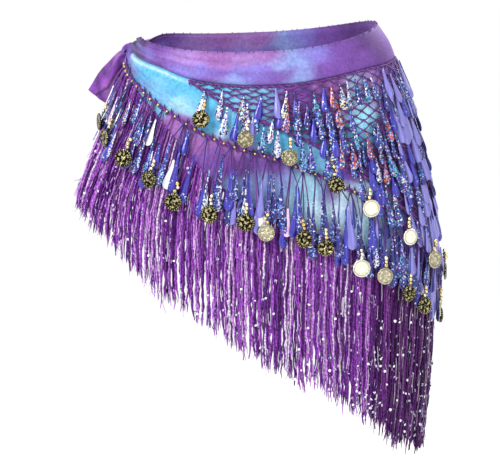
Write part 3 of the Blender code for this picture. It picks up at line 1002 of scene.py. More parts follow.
def band_folds(turn, share):
    """The band's roll and its lengthwise creases, which run out of the knot."""
    near = knot_pull(turn, 42)
    roll = 2.2 * near * np.sin(np.pi * share)
    wave = np.sin(2 * np.pi * 2.4 * share + 0.9 * np.sin(turn * 0.07) - 0.7)
    wave = np.sign(wave) * np.abs(wave) ** 0.7
    fine = 0.5 * np.sin(2 * np.pi * 5.3 * share + 1.4 * np.sin(turn * 0.05))
    crease = (2.2 * wave + fine) * near * np.sin(np.pi * share)
    puff = 0.8 * np.sin(np.pi * share) ** 0.6
    slack = 0.5 * ripple(walk_of(turn) * 1000 / 26, share * 2.2, 2.2) * np.sin(np.pi * share)
    return roll + crease + puff + slack


# Creases out of the knot, drawn only as painted shade lines in the colour: each one's place across
# the cloth at the knot, how much lower it runs far from there, and its width, all as shares of the
# cloth's width.
PANEL_STREAKS = ((0.34, 0.3, 0.07), (0.6, 0.2, 0.06), (0.85, 0.05, 0.06))
BAND_CREASES = ((0.2, 0.1, 0.045), (0.45, 0.22, 0.06), (0.72, 0.3, 0.055))


def near_knot(turn):
    """A weight for painted shade where the cloth turns away to the knot: one there, next to nothing
    70 degrees from there.
    """
    return np.exp(-((knot_distance(turn) / 40) ** 2))


def streak_shade(turn, drop):
    """How much painted shade darkens the open velvet in the long soft creases that run out of the
    knot.
    """
    near = knot_pull(turn, 60)
    band = cut(turn, "band")
    share = (drop - band) / (cut(turn, "beads") - band)
    depth = 0
    for place, slope, wide in PANEL_STREAKS:
        depth = depth + np.exp(-(((share - place - slope * (1 - near)) / wide) ** 2))
    return near * depth


def crease_shade(turn, share):
    """How much painted shade darkens the band: in its three sharpest creases, which fade away from
    the knot, and where it turns away to the knot.
    """
    near = knot_pull(turn, 54)
    shade = 0
    for place, slope, wide in BAND_CREASES:
        line = place + slope * (1 - near) + 0.03 * np.sin(turn * 0.11 + 9 * place)
        shade = shade + np.exp(-(((share - line) / wide) ** 2))
    return np.clip(0.85 * near * shade + 0.6 * near_knot(turn), 0, 0.8)


# The band's columns and outer rows, how far its outer face lies off the body at the edges and how
# much further in between, and its inner rows' places down the band and lifts.
BAND_COLUMNS, BAND_OUTER_ROWS = 421, 18
BAND_LIFT, BAND_ROUNDED = 1.6, 1.7
BAND_INNER_SHARES, BAND_INNER_LIFTS = np.array([0.0, 0.35, 0.7, 0.97]), (1.5, 1.3, 1.3, 1.3)


def add_band():
    """The folded strip along the top edge, a closed tube flattened against the body."""
    turns = turn_at(np.linspace(0, ROUND, BAND_COLUMNS))[:, None]
    shares = np.linspace(1, 0, BAND_OUTER_ROWS)
    edge = np.sin(np.pi * np.clip(shares, 0.02, 0.98)) ** 0.25
    band = cut(turns, "band")
    drops = [band * shares]
    lifts = [BAND_LIFT + BAND_ROUNDED * edge + band_folds(turns, shares)]
    drops.append(band * BAND_INNER_SHARES + np.array([-0.6, 0, 0, 0]))
    lifts.append(np.array(BAND_INNER_LIFTS) + 0 * turns)
    drops, lifts = np.concatenate(drops, axis=1), np.concatenate(lifts, axis=1)
    turns = turns + 0 * drops
    points = on_form(turns, drops, lifts)
    rows = points.shape[1]
    faces = [face[::-1] for face in grid_faces(BAND_COLUMNS, rows, closed=True)]
    last = (BAND_COLUMNS - 1) * rows
    faces += [tuple(range(rows)), tuple(range(last, last + rows))[::-1]]
    piece = mesh_piece("velvet_band", points.reshape(-1, 3), faces, VELVET)
    folds = band_folds(turns, np.clip(drops / band, 0, 1))
    colours = dye(BAND_DYE, turns, drops, folds)
    # Painted shade in the band's creases and towards the knot.
    store_dye(piece, colours * (1 - crease_shade(turns, drops / band)[..., None]))
    return piece


# ---- the knot and the tie ends

KNOT_DROP, KNOT_LIFT = 17.0, 8.0

# Each tie end's middle line from the knot's middle, its width, all in millimetres, and the angle
# of its face from outwards to the front, in degrees.
TIE_PLACES = "place out front down width facing"
FRONT_TIE = Table(
    TIE_PLACES,
    [
        (0, 0, 5, -5, 17, 62),
        (1, 7, 10, 2, 23, 68),
        (2, 17, 12, 16, 27, 74),
        (3, 25, 12.5, 30, 31, 78),
        (4, 34, 13, 47, 34, 80),
    ],
)
BACK_TIE = Table(
    TIE_PLACES,
    [
        (0, 2, -2, 4, 12, -10),
        (1, 11, -7, 22, 20, -10),
        (2, 15, -10, 42, 28, -10),
        (3, 21, -12, 64, 32, -10),
        (4, 26, -13, 84, 34, -10),
    ],
)


def knot_frame():
    """The knot's middle, and the directions outwards, towards the front and up."""
    normal = form_normal(KNOT_TURN, KNOT_DROP)
    middle = form_point(KNOT_TURN, KNOT_DROP) + normal * KNOT_LIFT * MM
    out = unit(normal * (1, 1, 0))
    return middle, out, np.array((-out[1], out[0], 0.0)), np.array((0.0, 0.0, 1.0))


KNOT = knot_frame()


def from_knot(out, front, up):
    """Points given in millimetres from the knot's middle."""
    middle, outwards, forwards, upwards = KNOT
    parts = [np.asarray(v, float)[..., None] for v in np.broadcast_arrays(out, front, up)]
    return middle + (parts[0] * outwards + parts[1] * forwards + parts[2] * upwards) * MM


def mixed_paints(names, share):
    """Colours between the named ones, share running from 0 to 1 through them."""
    place = np.clip(share, 0, 1) * (len(names) - 1)
    listed = np.array([paint(name) for name in names])
    low = np.minimum(place.astype(int), len(names) - 2)
    along = (place - low)[..., None]
    return listed[low] * (1 - along) + listed[low + 1] * along


TIE_PAINTS = ("plum", "grape", "plum", "grape", "orchid", "violet")
TIE_COLUMNS, TIE_ROWS, TIE_WALL = 33, 37, 2.0
LAST_PLACE = 4  # a tie end's places run from 0 at the knot to this


def overlap_side(places):
    """Where across a tie end its upper layer's edge lies: it sweeps across at the end."""
    return -0.6 + 0.1 * places + 0.65 * np.clip((places - 3.1) / 0.9, 0, 1)


TIE_FOLD, TIE_LAYER_STEP = 5.0, 1.1  # how far the fold and its upper layer stand out


def tie_points(sections, places, sides):
    """A tie end's points: places down it, and sides from -1 to 1 across it."""
    _, out, front, _ = KNOT

    def centre(at):
        at = np.clip(at, 0, LAST_PLACE)
        columns = [sections.at(at, name) for name in ("out", "front", "down")]
        return from_knot(columns[0], columns[1], -columns[2])

    angle = np.radians(sections.at(places, "facing"))[..., None]
    run = centre(places + 0.1) - centre(places - 0.1)
    across = unit(np.cross(run, out * np.cos(angle) + front * np.sin(angle)))
    face = unit(np.cross(across, run))
    grown = np.minimum(places, 1)
    fold = TIE_FOLD * (1 - np.abs(sides)) * grown
    fold = fold + 1.5 * np.sin(3.3 * sides + 0.9 * places + 0.6) * grown
    fold = fold + 0.8 * np.sin(9 * sides + 1.3 * places) * np.exp(-0.7 * places)
    fold = fold + TIE_LAYER_STEP * np.tanh((sides - overlap_side(places)) / 0.08) * grown
    width = sections.at(places, "width") * (1 + 0.03 * np.sin(3 * places))
    lag = -0.03 * sides * places
    moved = (across * (sides * width / 2)[..., None] + face * fold[..., None]) * MM
    return centre(places + lag) + moved


def add_tie_end(name, sections, phase):
    """A free corner of the cloth, folded over itself and hanging from the knot."""
    sides = np.linspace(-1, 1, TIE_COLUMNS)[:, None] * np.ones(TIE_ROWS)
    places = np.linspace(0, LAST_PLACE, TIE_ROWS)[None, :] * np.ones((TIE_COLUMNS, 1))
    points = tie_points(sections, places, sides).reshape(-1, 3)
    piece = mesh_piece(name, points, grid_faces(TIE_COLUMNS, TIE_ROWS), VELVET)
    share = 0.5 + 0.5 * ripple(places * 0.9, sides * 0.8, phase)
    beyond = sides - overlap_side(places)
    # Painted light and shade: a dark line under the upper layer's edge, the lower layer and a groove
    # darker, the upper layer a little lighter, and all darker near the knot.
    painted_shading = 1.08 - 0.5 * np.exp(-(((beyond + 0.05) / 0.09) ** 2)) - 0.26 * (beyond < 0)
    painted_shading = painted_shading - 0.24 * np.exp(-(((sides - 0.6) / 0.08) ** 2))
    painted_shading = painted_shading * (0.6 + 0.4 * np.clip(places / 1.3, 0, 1))
    store_dye(piece, mixed_paints(TIE_PAINTS, share) * painted_shading[..., None])
    return thickened(piece, TIE_WALL, 1.0)


def ring_piece(name, rings, dyes, looped=False):
    """Rings of points joined in order, closed at both ends or looped back to the first."""
    count, around = rings.shape[:2]
    faces = grid_faces(count, around, closed=True)
    last = (count - 1) * around
    if looped:
        faces += [(last + r, last + (r + 1) % around, (r + 1) % around, r) for r in range(around)]
    else:
        faces += [tuple(range(around))[::-1], tuple(range(last, last + around))]
    piece = mesh_piece(name, rings.reshape(-1, 3), faces, VELVET)
    store_dye(piece, dyes)
    return piece


# The strip over the knot: its points, its half width, how far out and up its loop reaches, how far
# it puffs out, and how much closer it lies at its edges.
WRAP_STEPS, WRAP_OUTER = 64, 20
WRAP_HALF, WRAP_OUT, WRAP_UP, WRAP_PUFF, WRAP_PINCH = 11.5, 6.4, 10.4, 3.4, 0.36
WRAP_BACK = -6.6  # as far towards the body as it goes


def add_knot_wrap():
    """The strip wound over the knot, gathered into creases."""
    wind = np.linspace(0, 2 * np.pi, WRAP_STEPS, endpoint=False)[:, None]
    there, back = np.linspace(-1, 1, WRAP_OUTER), np.linspace(1, -1, WRAP_OUTER)[1:-1]
    across = np.concatenate([there, back])[None, :]
    outside = np.concatenate([np.ones(WRAP_OUTER), np.zeros(WRAP_OUTER - 2)])[None, :]
    crest = np.maximum(1 - np.abs(across) ** 2.6, 0) ** 0.7
    crease = 0.9 * np.cos(np.pi * 3.2 * across + 1.2 * np.sin(wind + 0.5))
    crease = crease + 0.5 * np.cos(np.pi * 6.1 * across - 1.7 * np.sin(wind * 2))
    reach = outside * crest * (WRAP_PUFF + crease) - (1 - outside) * 1.0
    half = WRAP_HALF + 1.6 * np.cos(wind) - 2.2 * np.sin(wind) ** 2
    front = across * half + 2.6 * np.sin(wind)
    pinch = 1 - WRAP_PINCH * across**4
    out = 1.5 + (WRAP_OUT + reach) * pinch * np.cos(wind)
    up = 0.6 + (WRAP_UP + reach) * pinch * np.sin(wind)
    out = np.maximum(out, WRAP_BACK + 0.15 * out)
    share = 0.5 + 0.5 * ripple(np.broadcast_to(wind, out.shape), across * 1.3, 0.8)
    dyes = mixed_paints(("indigo", "grape", "indigo", "plum"), share)
    return ring_piece("knot_wrap", from_knot(out, front, up), dyes, looped=True)


# A bunch's points and creases, and at the band's end its half height, half depth and drop.
BUNCH_STEPS, BUNCH_AROUND, BUNCH_CREASES = 15, 40, 7
BUNCH_UP, BUNCH_OUT, BUNCH_DROP = 16.5, 2.0, 16


def add_bunch(name, start_turn, sign):
    """A gathered end of the cloth, drawn from the band's end into the knot. The sign is 1 for the
    front one and -1 for the back one."""
    along = np.linspace(0, 1, BUNCH_STEPS)[:, None]
    angle = np.linspace(0, 2 * np.pi, BUNCH_AROUND, endpoint=False)[None, :]
    end_turn = KNOT_TURN if sign > 0 else KNOT_TURN - 360
    turn = start_turn + (end_turn - start_turn) * along
    creases = 1 + 0.16 * np.cos(BUNCH_CREASES * angle + 2 * along) + 0.08 * np.cos(12 * angle)
    half_up = (BUNCH_UP - 8.5 * along**0.7) * (1 + 0.05 * np.cos(BUNCH_CREASES * angle))
    half_out = (BUNCH_OUT + 6.0 * along**0.42) * creases
    drop = BUNCH_DROP + along - half_up * np.sin(angle)
    lift = 3.2 + (KNOT_LIFT - 2.4) * along**0.6 + half_out * np.cos(angle)
    points = on_form(np.broadcast_to(turn, drop.shape), np.clip(drop, 0, 34), lift)
    share = 0.5 + 0.5 * ripple(3 * along, 1.5 * np.sin(angle), start_turn)
    dyes = mixed_paints(("grape", "periwinkle", "grape"), share)
    # Painted shade: the bunch darkens to indigo on its upper side and towards the knot.
    high = np.clip(0.6 * np.sin(angle) + 0.4 * along + 0.3, 0, 1)[..., None]
    dyes = dyes + (np.array(paint("indigo")) - dyes) * high
    return ring_piece(name, points if sign > 0 else points[:, ::-1], dyes)


# ---- crochet

TINT = {name: (*paint(name), 1.0) for name in PAINTS}

# The height of one row of the net's meshes, in millimetres, and their width in metres.
NET_ROW = Table("turn height", [(0, 5.6), (45, 5.2), (75, 3.9), (95, 3.4), (118, 3.0)])
NET_PITCH = 0.0205
NET_ROWS = 48  # more than reach the lace's edge anywhere


def sideways_of(turn, drop):
    """The level direction along the cloth."""
    normal = form_normal(turn, drop)
    return unit(np.cross(normal, np.array((0.0, 0.0, 1.0))))


def net_thread(cords, near, far, rng):
    """A thread between two crossings, thicker at its ends and sagging a little."""
    share = np.linspace(0, 1, 4)
    turn = near[0] + (far[0] - near[0]) * share
    drop = near[1] + (far[1] - near[1]) * share + rng.uniform(0.3, 1.6) * 4 * share * (1 - share)
    points = on_cloth(turn, drop, 1.3 + 0.8 * np.sin(np.pi * share))
    tint = TINT[rng.choice(("crochet", "crochet", "crochet", "magenta", "yarn_dark"))]
    cords.add(points, np.array((1.15, 0.72, 0.72, 1.15)) * MM, tint)


def add_net():
    """The diamond net: wide flat meshes in front and deeper ones over the hip."""
    rng = random.Random(11)
    cords = Cords()
    start, end = walk_of(LACE_REACH), walk_of(-LACE_REACH)
    crossings = {}
    for row in range(NET_ROWS):
        for column in range(int((end - start) / NET_PITCH) + 1):
            walk = start + (column + 0.5 * (row % 2)) * NET_PITCH + rng.gauss(0, 0.0007)
            turn = float(turn_at(walk))
            height = float(NET_ROW.at(abs(turn), "height"))
            drop = float(cut(turn, "band")) + 1.5 + height * row + rng.gauss(0, 0.5)
            if drop < float(cut(turn, "lace")) - 1 and abs(turn) < LACE_REACH:
                crossings[column, row] = (turn, drop)
    for (column, row), near in crossings.items():
        for step in (row % 2, row % 2 - 1):
            far = crossings.get((column + step, row + 1))
            if far is None:
                walk = walk_of(near[0]) + (0.5 if step == row % 2 else -0.5) * NET_PITCH
                turn = float(turn_at(walk))
                far = (turn, min(near[1] + 5, float(cut(turn, "lace"))))
                if far[1] < near[1] or abs(turn) > LACE_REACH:
                    continue
            net_thread(cords, near, far, rng)
    return cords.build("crochet_net", THREAD)


CHAIN_STEP = 0.0013


def add_chain(cords, edge, reach, shift, over, girth, paints, twist=7.0):
    """Two threads twisted round each other along an edge of the scarf. The shift down, the height
    over the velvet, the girth and the twist's length are in millimetres."""
    walks = np.arange(float(walk_of(reach[0])), float(walk_of(reach[1])), CHAIN_STEP)
    turns = turn_at(walks)
    for strand in (0, 1):
        phase = 2 * np.pi * walks / (twist * MM) + np.pi * strand
        drop = cut(turns, edge) + shift + 0.9 * girth * np.sin(phase)
        points = on_cloth(turns, drop, over + 0.9 * girth * np.cos(phase))
        cords.add(points, girth * MM, TINT[paints[strand]])


def add_picots(cords, edge, reach, shift, over, pitch, length, rng, up=True):
    """Short thread ends that stand off a chain: all upwards, or up and down by turns. The shift
    down, the height over the velvet and the length are in millimetres, the pitch in metres."""
    for place, walk in enumerate(np.arange(walk_of(reach[0]), walk_of(reach[1]), pitch)):
        turn = float(turn_at(walk + rng.uniform(-0.15, 0.15) * pitch))
        drop = float(cut(turn, edge)) + shift
        side = 1 if up or place % 2 else -1
        long = length * rng.uniform(0.75, 1.25)
        drops = drop - side * long * np.array((0, 0.5, 1))
        lean = rng.uniform(-0.2, 0.6) * long * MM * np.array((0, 0.4, 1))[:, None]
        points = on_cloth(np.full(3, turn), drops, over + np.array((0, 0.8, 1.8)) * length / 5)
        points = points + lean * sideways_of(turn, drop)
        tint = TINT[rng.choice(("crochet", "crochet", "navy"))]
        cords.add(points, np.array((1.5, 1.3, 0.6)) * MM, tint)


# From which turn to which each chain runs.
WHOLE = (FRONT_END - 2, BACK_END + 2)
LACE = (LACE_REACH, -LACE_REACH)
BEADED = (BEAD_REACH_FRONT, BEAD_REACH_BACK)
TRIMMED, TRIM_PITCH = (170, -150), 0.0125  # where the band's picots stand, and every so many metres


def add_band_trim():
    """The chain that joins the net to the band, and the picots on the band's top edge."""
    cords, rng = Cords(), random.Random(21)
    add_chain(cords, "band", LACE, 1.5, 1.2, 0.75, ("crochet", "magenta"), 9.0)
    for walk in np.arange(walk_of(TRIMMED[0]), walk_of(TRIMMED[1]), TRIM_PITCH):
        turn = float(turn_at(walk + rng.uniform(-0.004, 0.004)))
        drops = np.array((0.9, -0.2, rng.uniform(-1.6, -0.4)))
        points = on_form(np.full(3, turn), drops, np.array((3.3, 2.7, 2.4)))
        cords.add(points, np.array((0.6, 0.7, 0.3)) * MM, TINT["crochet"])
    return cords.build("band_trim", THREAD)


def add_lace_edge():
    """The chain along the net's lower edge."""
    cords, rng = Cords(), random.Random(22)
    add_chain(cords, "lace", LACE, -1.5, 2.4, 1.15, ("magenta", "crochet"))
    add_picots(cords, "lace", LACE, -1, 2.4, 0.0085, 3.5, rng, up=False)
    return cords.build("lace_edge_chain", THREAD)


def add_bead_chain():
    """The slanting chain on the panel."""
    cords, rng = Cords(), random.Random(23)
    add_chain(cords, "beads", BEADED, 0, 1.7, 1.3, ("magenta", "crochet"))
    add_picots(cords, "beads", BEADED, 0, 1.6, 0.009, 5.8, rng)
    add_picots(cords, "beads", BEADED, 0, 1.6, 0.0095, 3.0, rng, up=False)
    return cords.build("bead_chain_thread", THREAD)


# ---- spangles, coins and beads

# Each kind's colour, and how much of its film is glitter.
SPANGLES = {
    "blue_glitter": (*paint("cobalt"), 0.8),
    "silver_glitter": (*paint("silver"), 0.6),
    "teal_glitter": (*paint("teal"), 0.75),
    "gold_glitter": (*paint("bead_gold"), 0.75),
    "white": (*paint("white"), 0.0),
    "royal": (*paint("royal"), 0.12),
    "navy": (*paint("navy"), 0.45),
    "lavender": (*paint("lavender"), 0.0),
    "copper": (*paint("copper"), 0.65),
    "pink": (*paint("pink"), 0.1),
}

# How often each kind hangs in each part, as parts of about a hundred.
MIXES = {
    "front": {
        "blue_glitter": 30,
        "silver_glitter": 15,
        "teal_glitter": 14,
        "gold_glitter": 9,
        "white": 3,
        "royal": 8,
        "navy": 11,
        "copper": 6,
        "pink": 1,
        "lavender": 5,
    },
    "middle": {
        "blue_glitter": 33,
        "royal": 20,
        "navy": 22,
        "teal_glitter": 7,
        "gold_glitter": 4,
        "copper": 8,
        "silver_glitter": 3,
        "lavender": 3,
    },
    "hip": {"lavender": 60, "royal": 19, "blue_glitter": 5, "navy": 14, "teal_glitter": 2},
    "beads_hip": {"lavender": 20, "navy": 34, "royal": 20, "blue_glitter": 26},
    "beads": {
        "blue_glitter": 36,
        "royal": 20,
        "navy": 31,
        "silver_glitter": 3,
        "gold_glitter": 2,
        "lavender": 4,
    },
    "pale": {"white": 3, "pink": 1},
}

# The net's spangles: kinds by the turn, pitches in metres, falls and sizes in millimetres.
HIP_TURN, MIDDLE_TURN = 38, 74
COLUMNS_TURN, SPANGLE_REACH = 33, 117
STAGGER_PITCH, STAGGER_STEP, COLUMN_PITCH = 0.0118, 0.0040, 0.0128
LEVELS, LEVEL_FALL, STAGGER_FALL, COLUMN_FALL = 4, 45, 15, 22.5
STAGGER_TOP, COLUMN_TOP, NET_CLEARANCE = 7, 4, 8
NET_LENGTHS, NET_WIDTHS, NET_LIFT = (25, 33), (8.6, 10.8), 2.6
HIP_EXTRA_TURN, HIP_EXTRA = 36, 6
FILM_THICK, FOOT_LIFT = 0.45, 3.2

# The share of places left empty: over the hip, how much more in front, the turn where that begins,
# and over how many degrees it grows.
EMPTY_HIP, EMPTY_FRONT, EMPTY_TURN, EMPTY_REACH = 0.06, 0.14, 62, 12

# How spangles are turned about their own length, in degrees: those over the hip away from it, and
# each with a spread.
YAW_TURN, HIP_YAW, HIP_YAW_SPREAD, YAW_SPREAD, YAW_LIMIT = 40, 15.0, 22, 16, 50.0


def pick_spangle(rng, mix):
    """One kind of spangle, drawn from a mix."""
    return SPANGLES[rng.choices(list(MIXES[mix]), list(MIXES[mix].values()))[0]]


def outwards(turn, drop):
    """The direction off the cloth there, or at the hem for what hangs lower."""
    return form_normal(turn, min(drop, float(cut(turn, "hem")) - 1))


def hang_at(items, turn, drop, lift, length, width, tint, rng, lean=0.0):
    """Hang one spangle on the cloth, its foot swung sideways by lean in millimetres."""
    root = on_cloth(turn, drop, lift)
    foot = on_cloth(turn, drop + length, lift + FOOT_LIFT) + sideways_of(turn, drop) * lean * MM
    at_hip = abs(turn) < YAW_TURN
    swung = -HIP_YAW * min(max(turn / 8, -1), 1) if at_hip else 0.0
    yaw = rng.gauss(swung, HIP_YAW_SPREAD if at_hip else YAW_SPREAD)
    yaw = max(-YAW_LIMIT, min(YAW_LIMIT, yaw))
    size = (width * MM, FILM_THICK * MM, length * MM)
    items.add(root, foot, outwards(turn, drop), size, tint, yaw)


def net_mix(turn, rng):
    """Which spangles hang there: glittering ones in front, plain lavender ones over the hip."""
    if abs(turn) < HIP_TURN + rng.gauss(0, 3):
        return "hip"
    return "middle" if abs(turn) < MIDDLE_TURN + rng.gauss(0, 3) else "front"


# Its middle's turn and drop, then half its width in degrees and half its height in millimetres.
BARE_TURN, BARE_DROP, BARE_WIDE, BARE_TALL = 51.5, 64, 6, 22


def is_bare(turn, drop):
    """A patch of the net in front of the hip, and one behind, shows clear velvet."""
    across, down = (abs(turn) - BARE_TURN) / BARE_WIDE, (drop - BARE_DROP) / BARE_TALL
    return across**2 + down**2 < 1


def spangle_places(level, rng):
    """Where one band of the net's spangles hang: staggered in front, in columns at the hip."""
    whole = np.arange(walk_of(SPANGLE_REACH), walk_of(-SPANGLE_REACH), STAGGER_PITCH)
    hip = np.arange(walk_of(COLUMNS_TURN), walk_of(-COLUMNS_TURN), COLUMN_PITCH)
    for step in range(3):
        staggered = STAGGER_TOP + LEVEL_FALL * level + STAGGER_FALL * step
        for walk in whole:
            turn = float(turn_at(walk + STAGGER_STEP * step + rng.gauss(0, 0.0017)))
            in_front = min(max((abs(turn) - EMPTY_TURN) / EMPTY_REACH, 0), 1)
            empty = EMPTY_HIP + EMPTY_FRONT * in_front
            if abs(turn) > COLUMNS_TURN and rng.random() > empty:
                yield turn, staggered + rng.gauss(0, 3.4)
        if step == 2:
            continue
        in_columns = COLUMN_TOP + LEVEL_FALL * level + COLUMN_FALL * step
        for column, walk in enumerate(hip):
            uneven = 5.0 * (column % 2) + rng.gauss(0, 1.6)
            yield float(turn_at(walk + rng.gauss(0, 0.0007))), in_columns + uneven


def add_net_spangles():
    """Rows of spangles on the net, shingled over one another."""
    rng = random.Random(31)
    made = []
    for level in range(LEVELS):
        items = Hangings()
        for turn, fall in spangle_places(level, rng):
            drop = float(cut(turn, "band")) + fall
            past_edge = drop > float(cut(turn, "lace")) - NET_CLEARANCE
            if past_edge or abs(turn) > SPANGLE_REACH or is_bare(turn, drop):
                continue
            tint = pick_spangle(rng, net_mix(turn, rng))
            length, width = rng.uniform(*NET_LENGTHS), rng.uniform(*NET_WIDTHS)
            if abs(turn) < HIP_EXTRA_TURN:
                length += HIP_EXTRA
            lean = rng.gauss(0, 1.8)
            lift = NET_LIFT + rng.uniform(0, 1.6)
            hang_at(items, turn, drop, lift, length, width, tint, rng, lean)
        made.append(items.build(f"net_spangles_{level + 1}", DROP, FILM))
    return made


# Where on the front the coins hang: turn, fall below their chain in millimetres, and how dark and
# how deeply stamped the coin is.
BEAD_COINS = [
    (166, 60, 1),
    (153.5, 64, 1),
    (137, 66, 1),
    (122.5, 70, 1),
    (113, 79, 1),
    (101, 76, 1),
    (91.8, 73, 1),
    (87.2, 78, 0.5),
    (77.2, 73, 1),
    (71.2, 75, 1),
    (58.5, 79, 0),
    (49.8, 76, 0.5),
    (39, 78, 1),
    (27.8, 73, 1),
    (14, 60, 0.5),
]
EDGE_COINS = [
    (109.2, 27, 1),
    (93.5, 23, 0.7),
    (81.5, 25, 0.7),
    (67, 31, 1),
    (54.8, 32, 0),
    (39, 31, 0),
    (24, 30, 0.5),
    (8, 26, 1),
]

# How far round the back the coins of each chain reach, and how far apart they are, in degrees.
COIN_REACHES = {"beads": (-152, 12.5), "lace": (-114, 16.0)}

# Sizes and lifts in millimetres, and heights from the coin's middle up to its thread's end and to
# its beads' middles. The pitch is in metres.
COIN_LIFTS = {"beads": 12.5, "lace": 13.5}
COIN_WIDTHS, COIN_THICK, COIN_BEAD_WIDTHS = (17.5, 19.5), 1.1, (4.0, 5.0)
COIN_THREAD, THREAD_ABOVE, BEADS_ABOVE = 0.55, 9.5, (11.2, 15.2, 19.2)
CHAIN_BEAD_WIDTHS, CHAIN_BEAD_LIFT, CHAIN_BEAD_PITCH = (2.9, 3.5), 4.3, 0.0105


def hidden_coins(places, reach, step, rng):
    """Coins round the back, as far apart as those in front."""
    turn, made = -4.0, []
    while turn > reach:
        fall = rng.uniform(min(p[1] for p in places), max(p[1] for p in places))
        made.append((turn, fall, rng.choice((1, 1, 1, 0.4, 0))))
        turn -= step * rng.uniform(0.85, 1.15)
    return made


def thread_lifts(falls, limit):
    """How far a hanging thread stands off the velvet: further as it falls, up to a limit."""
    return np.minimum(limit, 2.0 + falls / 3)


def hang_coin(coins, beads, threads, turn, edge, fall, relief, rng):
    """A thread, three gold beads and a coin."""
    start, lift = float(cut(turn, edge)), COIN_LIFTS[edge]
    centre = start + fall
    drops = np.linspace(start, centre - THREAD_ABOVE, 5)
    points = on_cloth(np.full(5, turn), drops, thread_lifts(drops - start, lift))
    threads.add(points, COIN_THREAD * MM, TINT["navy"])
    out = outwards(turn, centre)
    swing = rng.gauss(0, 10)
    for above in BEADS_ABOVE:
        aside = sideways_of(turn, start) * rng.gauss(0, 0.9) * MM
        place = on_cloth(turn, centre - above, lift) + aside
        size = rng.uniform(*COIN_BEAD_WIDTHS) * MM
        tint = TINT[rng.choice(("bead_gold", "bead_gold", "brass", "pale_gold"))]
        beads.add(place, place - (0, 0, 1), out, (size,) * 3, tint)
    place = on_cloth(turn, centre, lift)
    pale = np.array(paint("pale_gold")) * (1 - relief) + np.array(paint("old_gold")) * relief
    tint = (*pale.tolist(), relief)
    wide = rng.uniform(*COIN_WIDTHS) * MM
    size = (wide, COIN_THICK * MM, wide)
    coins.add(place, place - np.array((0, 0, 1)), out, size, tint, swing)


def add_coins():
    """Coins under the beaded chain and under the net's edge, and the chain's own small beads."""
    rng = random.Random(41)
    coins, beads, threads = Hangings(), Hangings(), Cords()
    for edge, seen in (("beads", BEAD_COINS), ("lace", EDGE_COINS)):
        for turn, fall, relief in seen + hidden_coins(seen, *COIN_REACHES[edge], rng):
            hang_coin(coins, beads, threads, turn, edge, fall, relief, rng)
    for walk in np.arange(walk_of(BEADED[0]), walk_of(BEADED[1]), CHAIN_BEAD_PITCH):
        turn = float(turn_at(walk + rng.gauss(0, 0.0005)))
        place = on_cloth(turn, float(cut(turn, "beads")), CHAIN_BEAD_LIFT)
        size = rng.uniform(*CHAIN_BEAD_WIDTHS) * MM
        beads.add(place, place - (0, 0, 1), (0, -1, 0), (size,) * 3, TINT["brass"])
    return (
        coins.build("coins", COIN_DISC, COIN),
        beads.build("gold_beads", BEAD, GOLD),
        threads,
    )


# How thickly the spangles hang under the beaded chain at three levels, by the turn.
HANGING = Table(
    "turn upper middle lower",
    [
        (0, 0.9, 1, 1),
        (45, 0.7, 0.9, 1),
        (62, 0.2, 0.5, 1),
        (75, 0.04, 0.15, 1),
        (105, 0.04, 0.2, 0.9),
        (116, 0.5, 0.7, 0.8),
        (130, 0.9, 0.9, 0.7),
        (175, 0.9, 0.8, 0.4),
    ],
)
# From which turn to which they hang, how many metres apart, and how far neighbours swing.
HUNG, HUNG_PITCH, SWING = (173, -153), 0.0125, 8.0
SHORT_LENGTHS, HUNG_WIDTHS, HUNG_LIFT = (27, 33), (10.2, 12.6), 7.5
HUNG_HIP_TURN, HUNG_RISE, RISE_TURN = 42, 20, 20  # strands over the hip are shorter by the rise
PALE_SHARE = 0.07

# The strands that can hang from one place: their level in the table above and the share of it,
# the fall and the spangle's length in millimetres, the share of the swing, and, for a strand
# without one, how far it strays to either side.
STRANDS = (
    ("upper", 1, (4, 14), SHORT_LENGTHS, 0, 4),
    ("middle", 1, (20, 32), SHORT_LENGTHS, 0, 6),
    ("lower", 1, (14, 24), (50, 60), 1, 0),
    ("lower", 1, (44, 58), SHORT_LENGTHS, -0.8, 0),
    ("lower", 0.7, (20, 32), (40, 50), -0.5, 0),
    ("lower", 0.5, (38, 50), SHORT_LENGTHS, 0, 5),
)


def hang_pair(items, threads, turn, fall, rng, swing, lengths):
    """A strand that slants from the beaded chain down to a spangle."""
    start = float(cut(turn, "beads"))
    fall = max(fall - HUNG_RISE * math.exp(-((turn / RISE_TURN) ** 2)), 3)
    drops = start + np.linspace(1, fall, 5)
    lifts = thread_lifts(drops - start, HUNG_LIFT) + rng.uniform(-0.8, 0.8)
    side = swing * MM * np.linspace(0, 1, 5)[:, None] * sideways_of(turn, start)
    points = on_cloth(np.full(5, turn), drops, lifts) + side
    tint = TINT[rng.choice(("crochet", "crochet", "navy", "magenta"))]
    threads.add(points, np.array((0.9, 0.75, 0.7, 0.7, 0.6)) * MM, tint)
    length, width = rng.uniform(*lengths), rng.uniform(*HUNG_WIDTHS)
    root, end = points[-1], start + fall
    foot = root + on_cloth(turn, end + length, HUNG_LIFT + 1) - on_cloth(turn, end, HUNG_LIFT)
    foot = foot + sideways_of(turn, start) * (swing * 0.25 + rng.gauss(0, 1.5)) * MM
    size = (width * MM, FILM_THICK * MM, length * MM)
    mix = "beads_hip" if abs(turn) < HUNG_HIP_TURN else "beads"
    if lengths == SHORT_LENGTHS and rng.random() < PALE_SHARE:
        mix = "pale"
    tint = pick_spangle(rng, mix)
    items.add(root, foot, outwards(turn, end), size, tint, rng.gauss(0, 18))


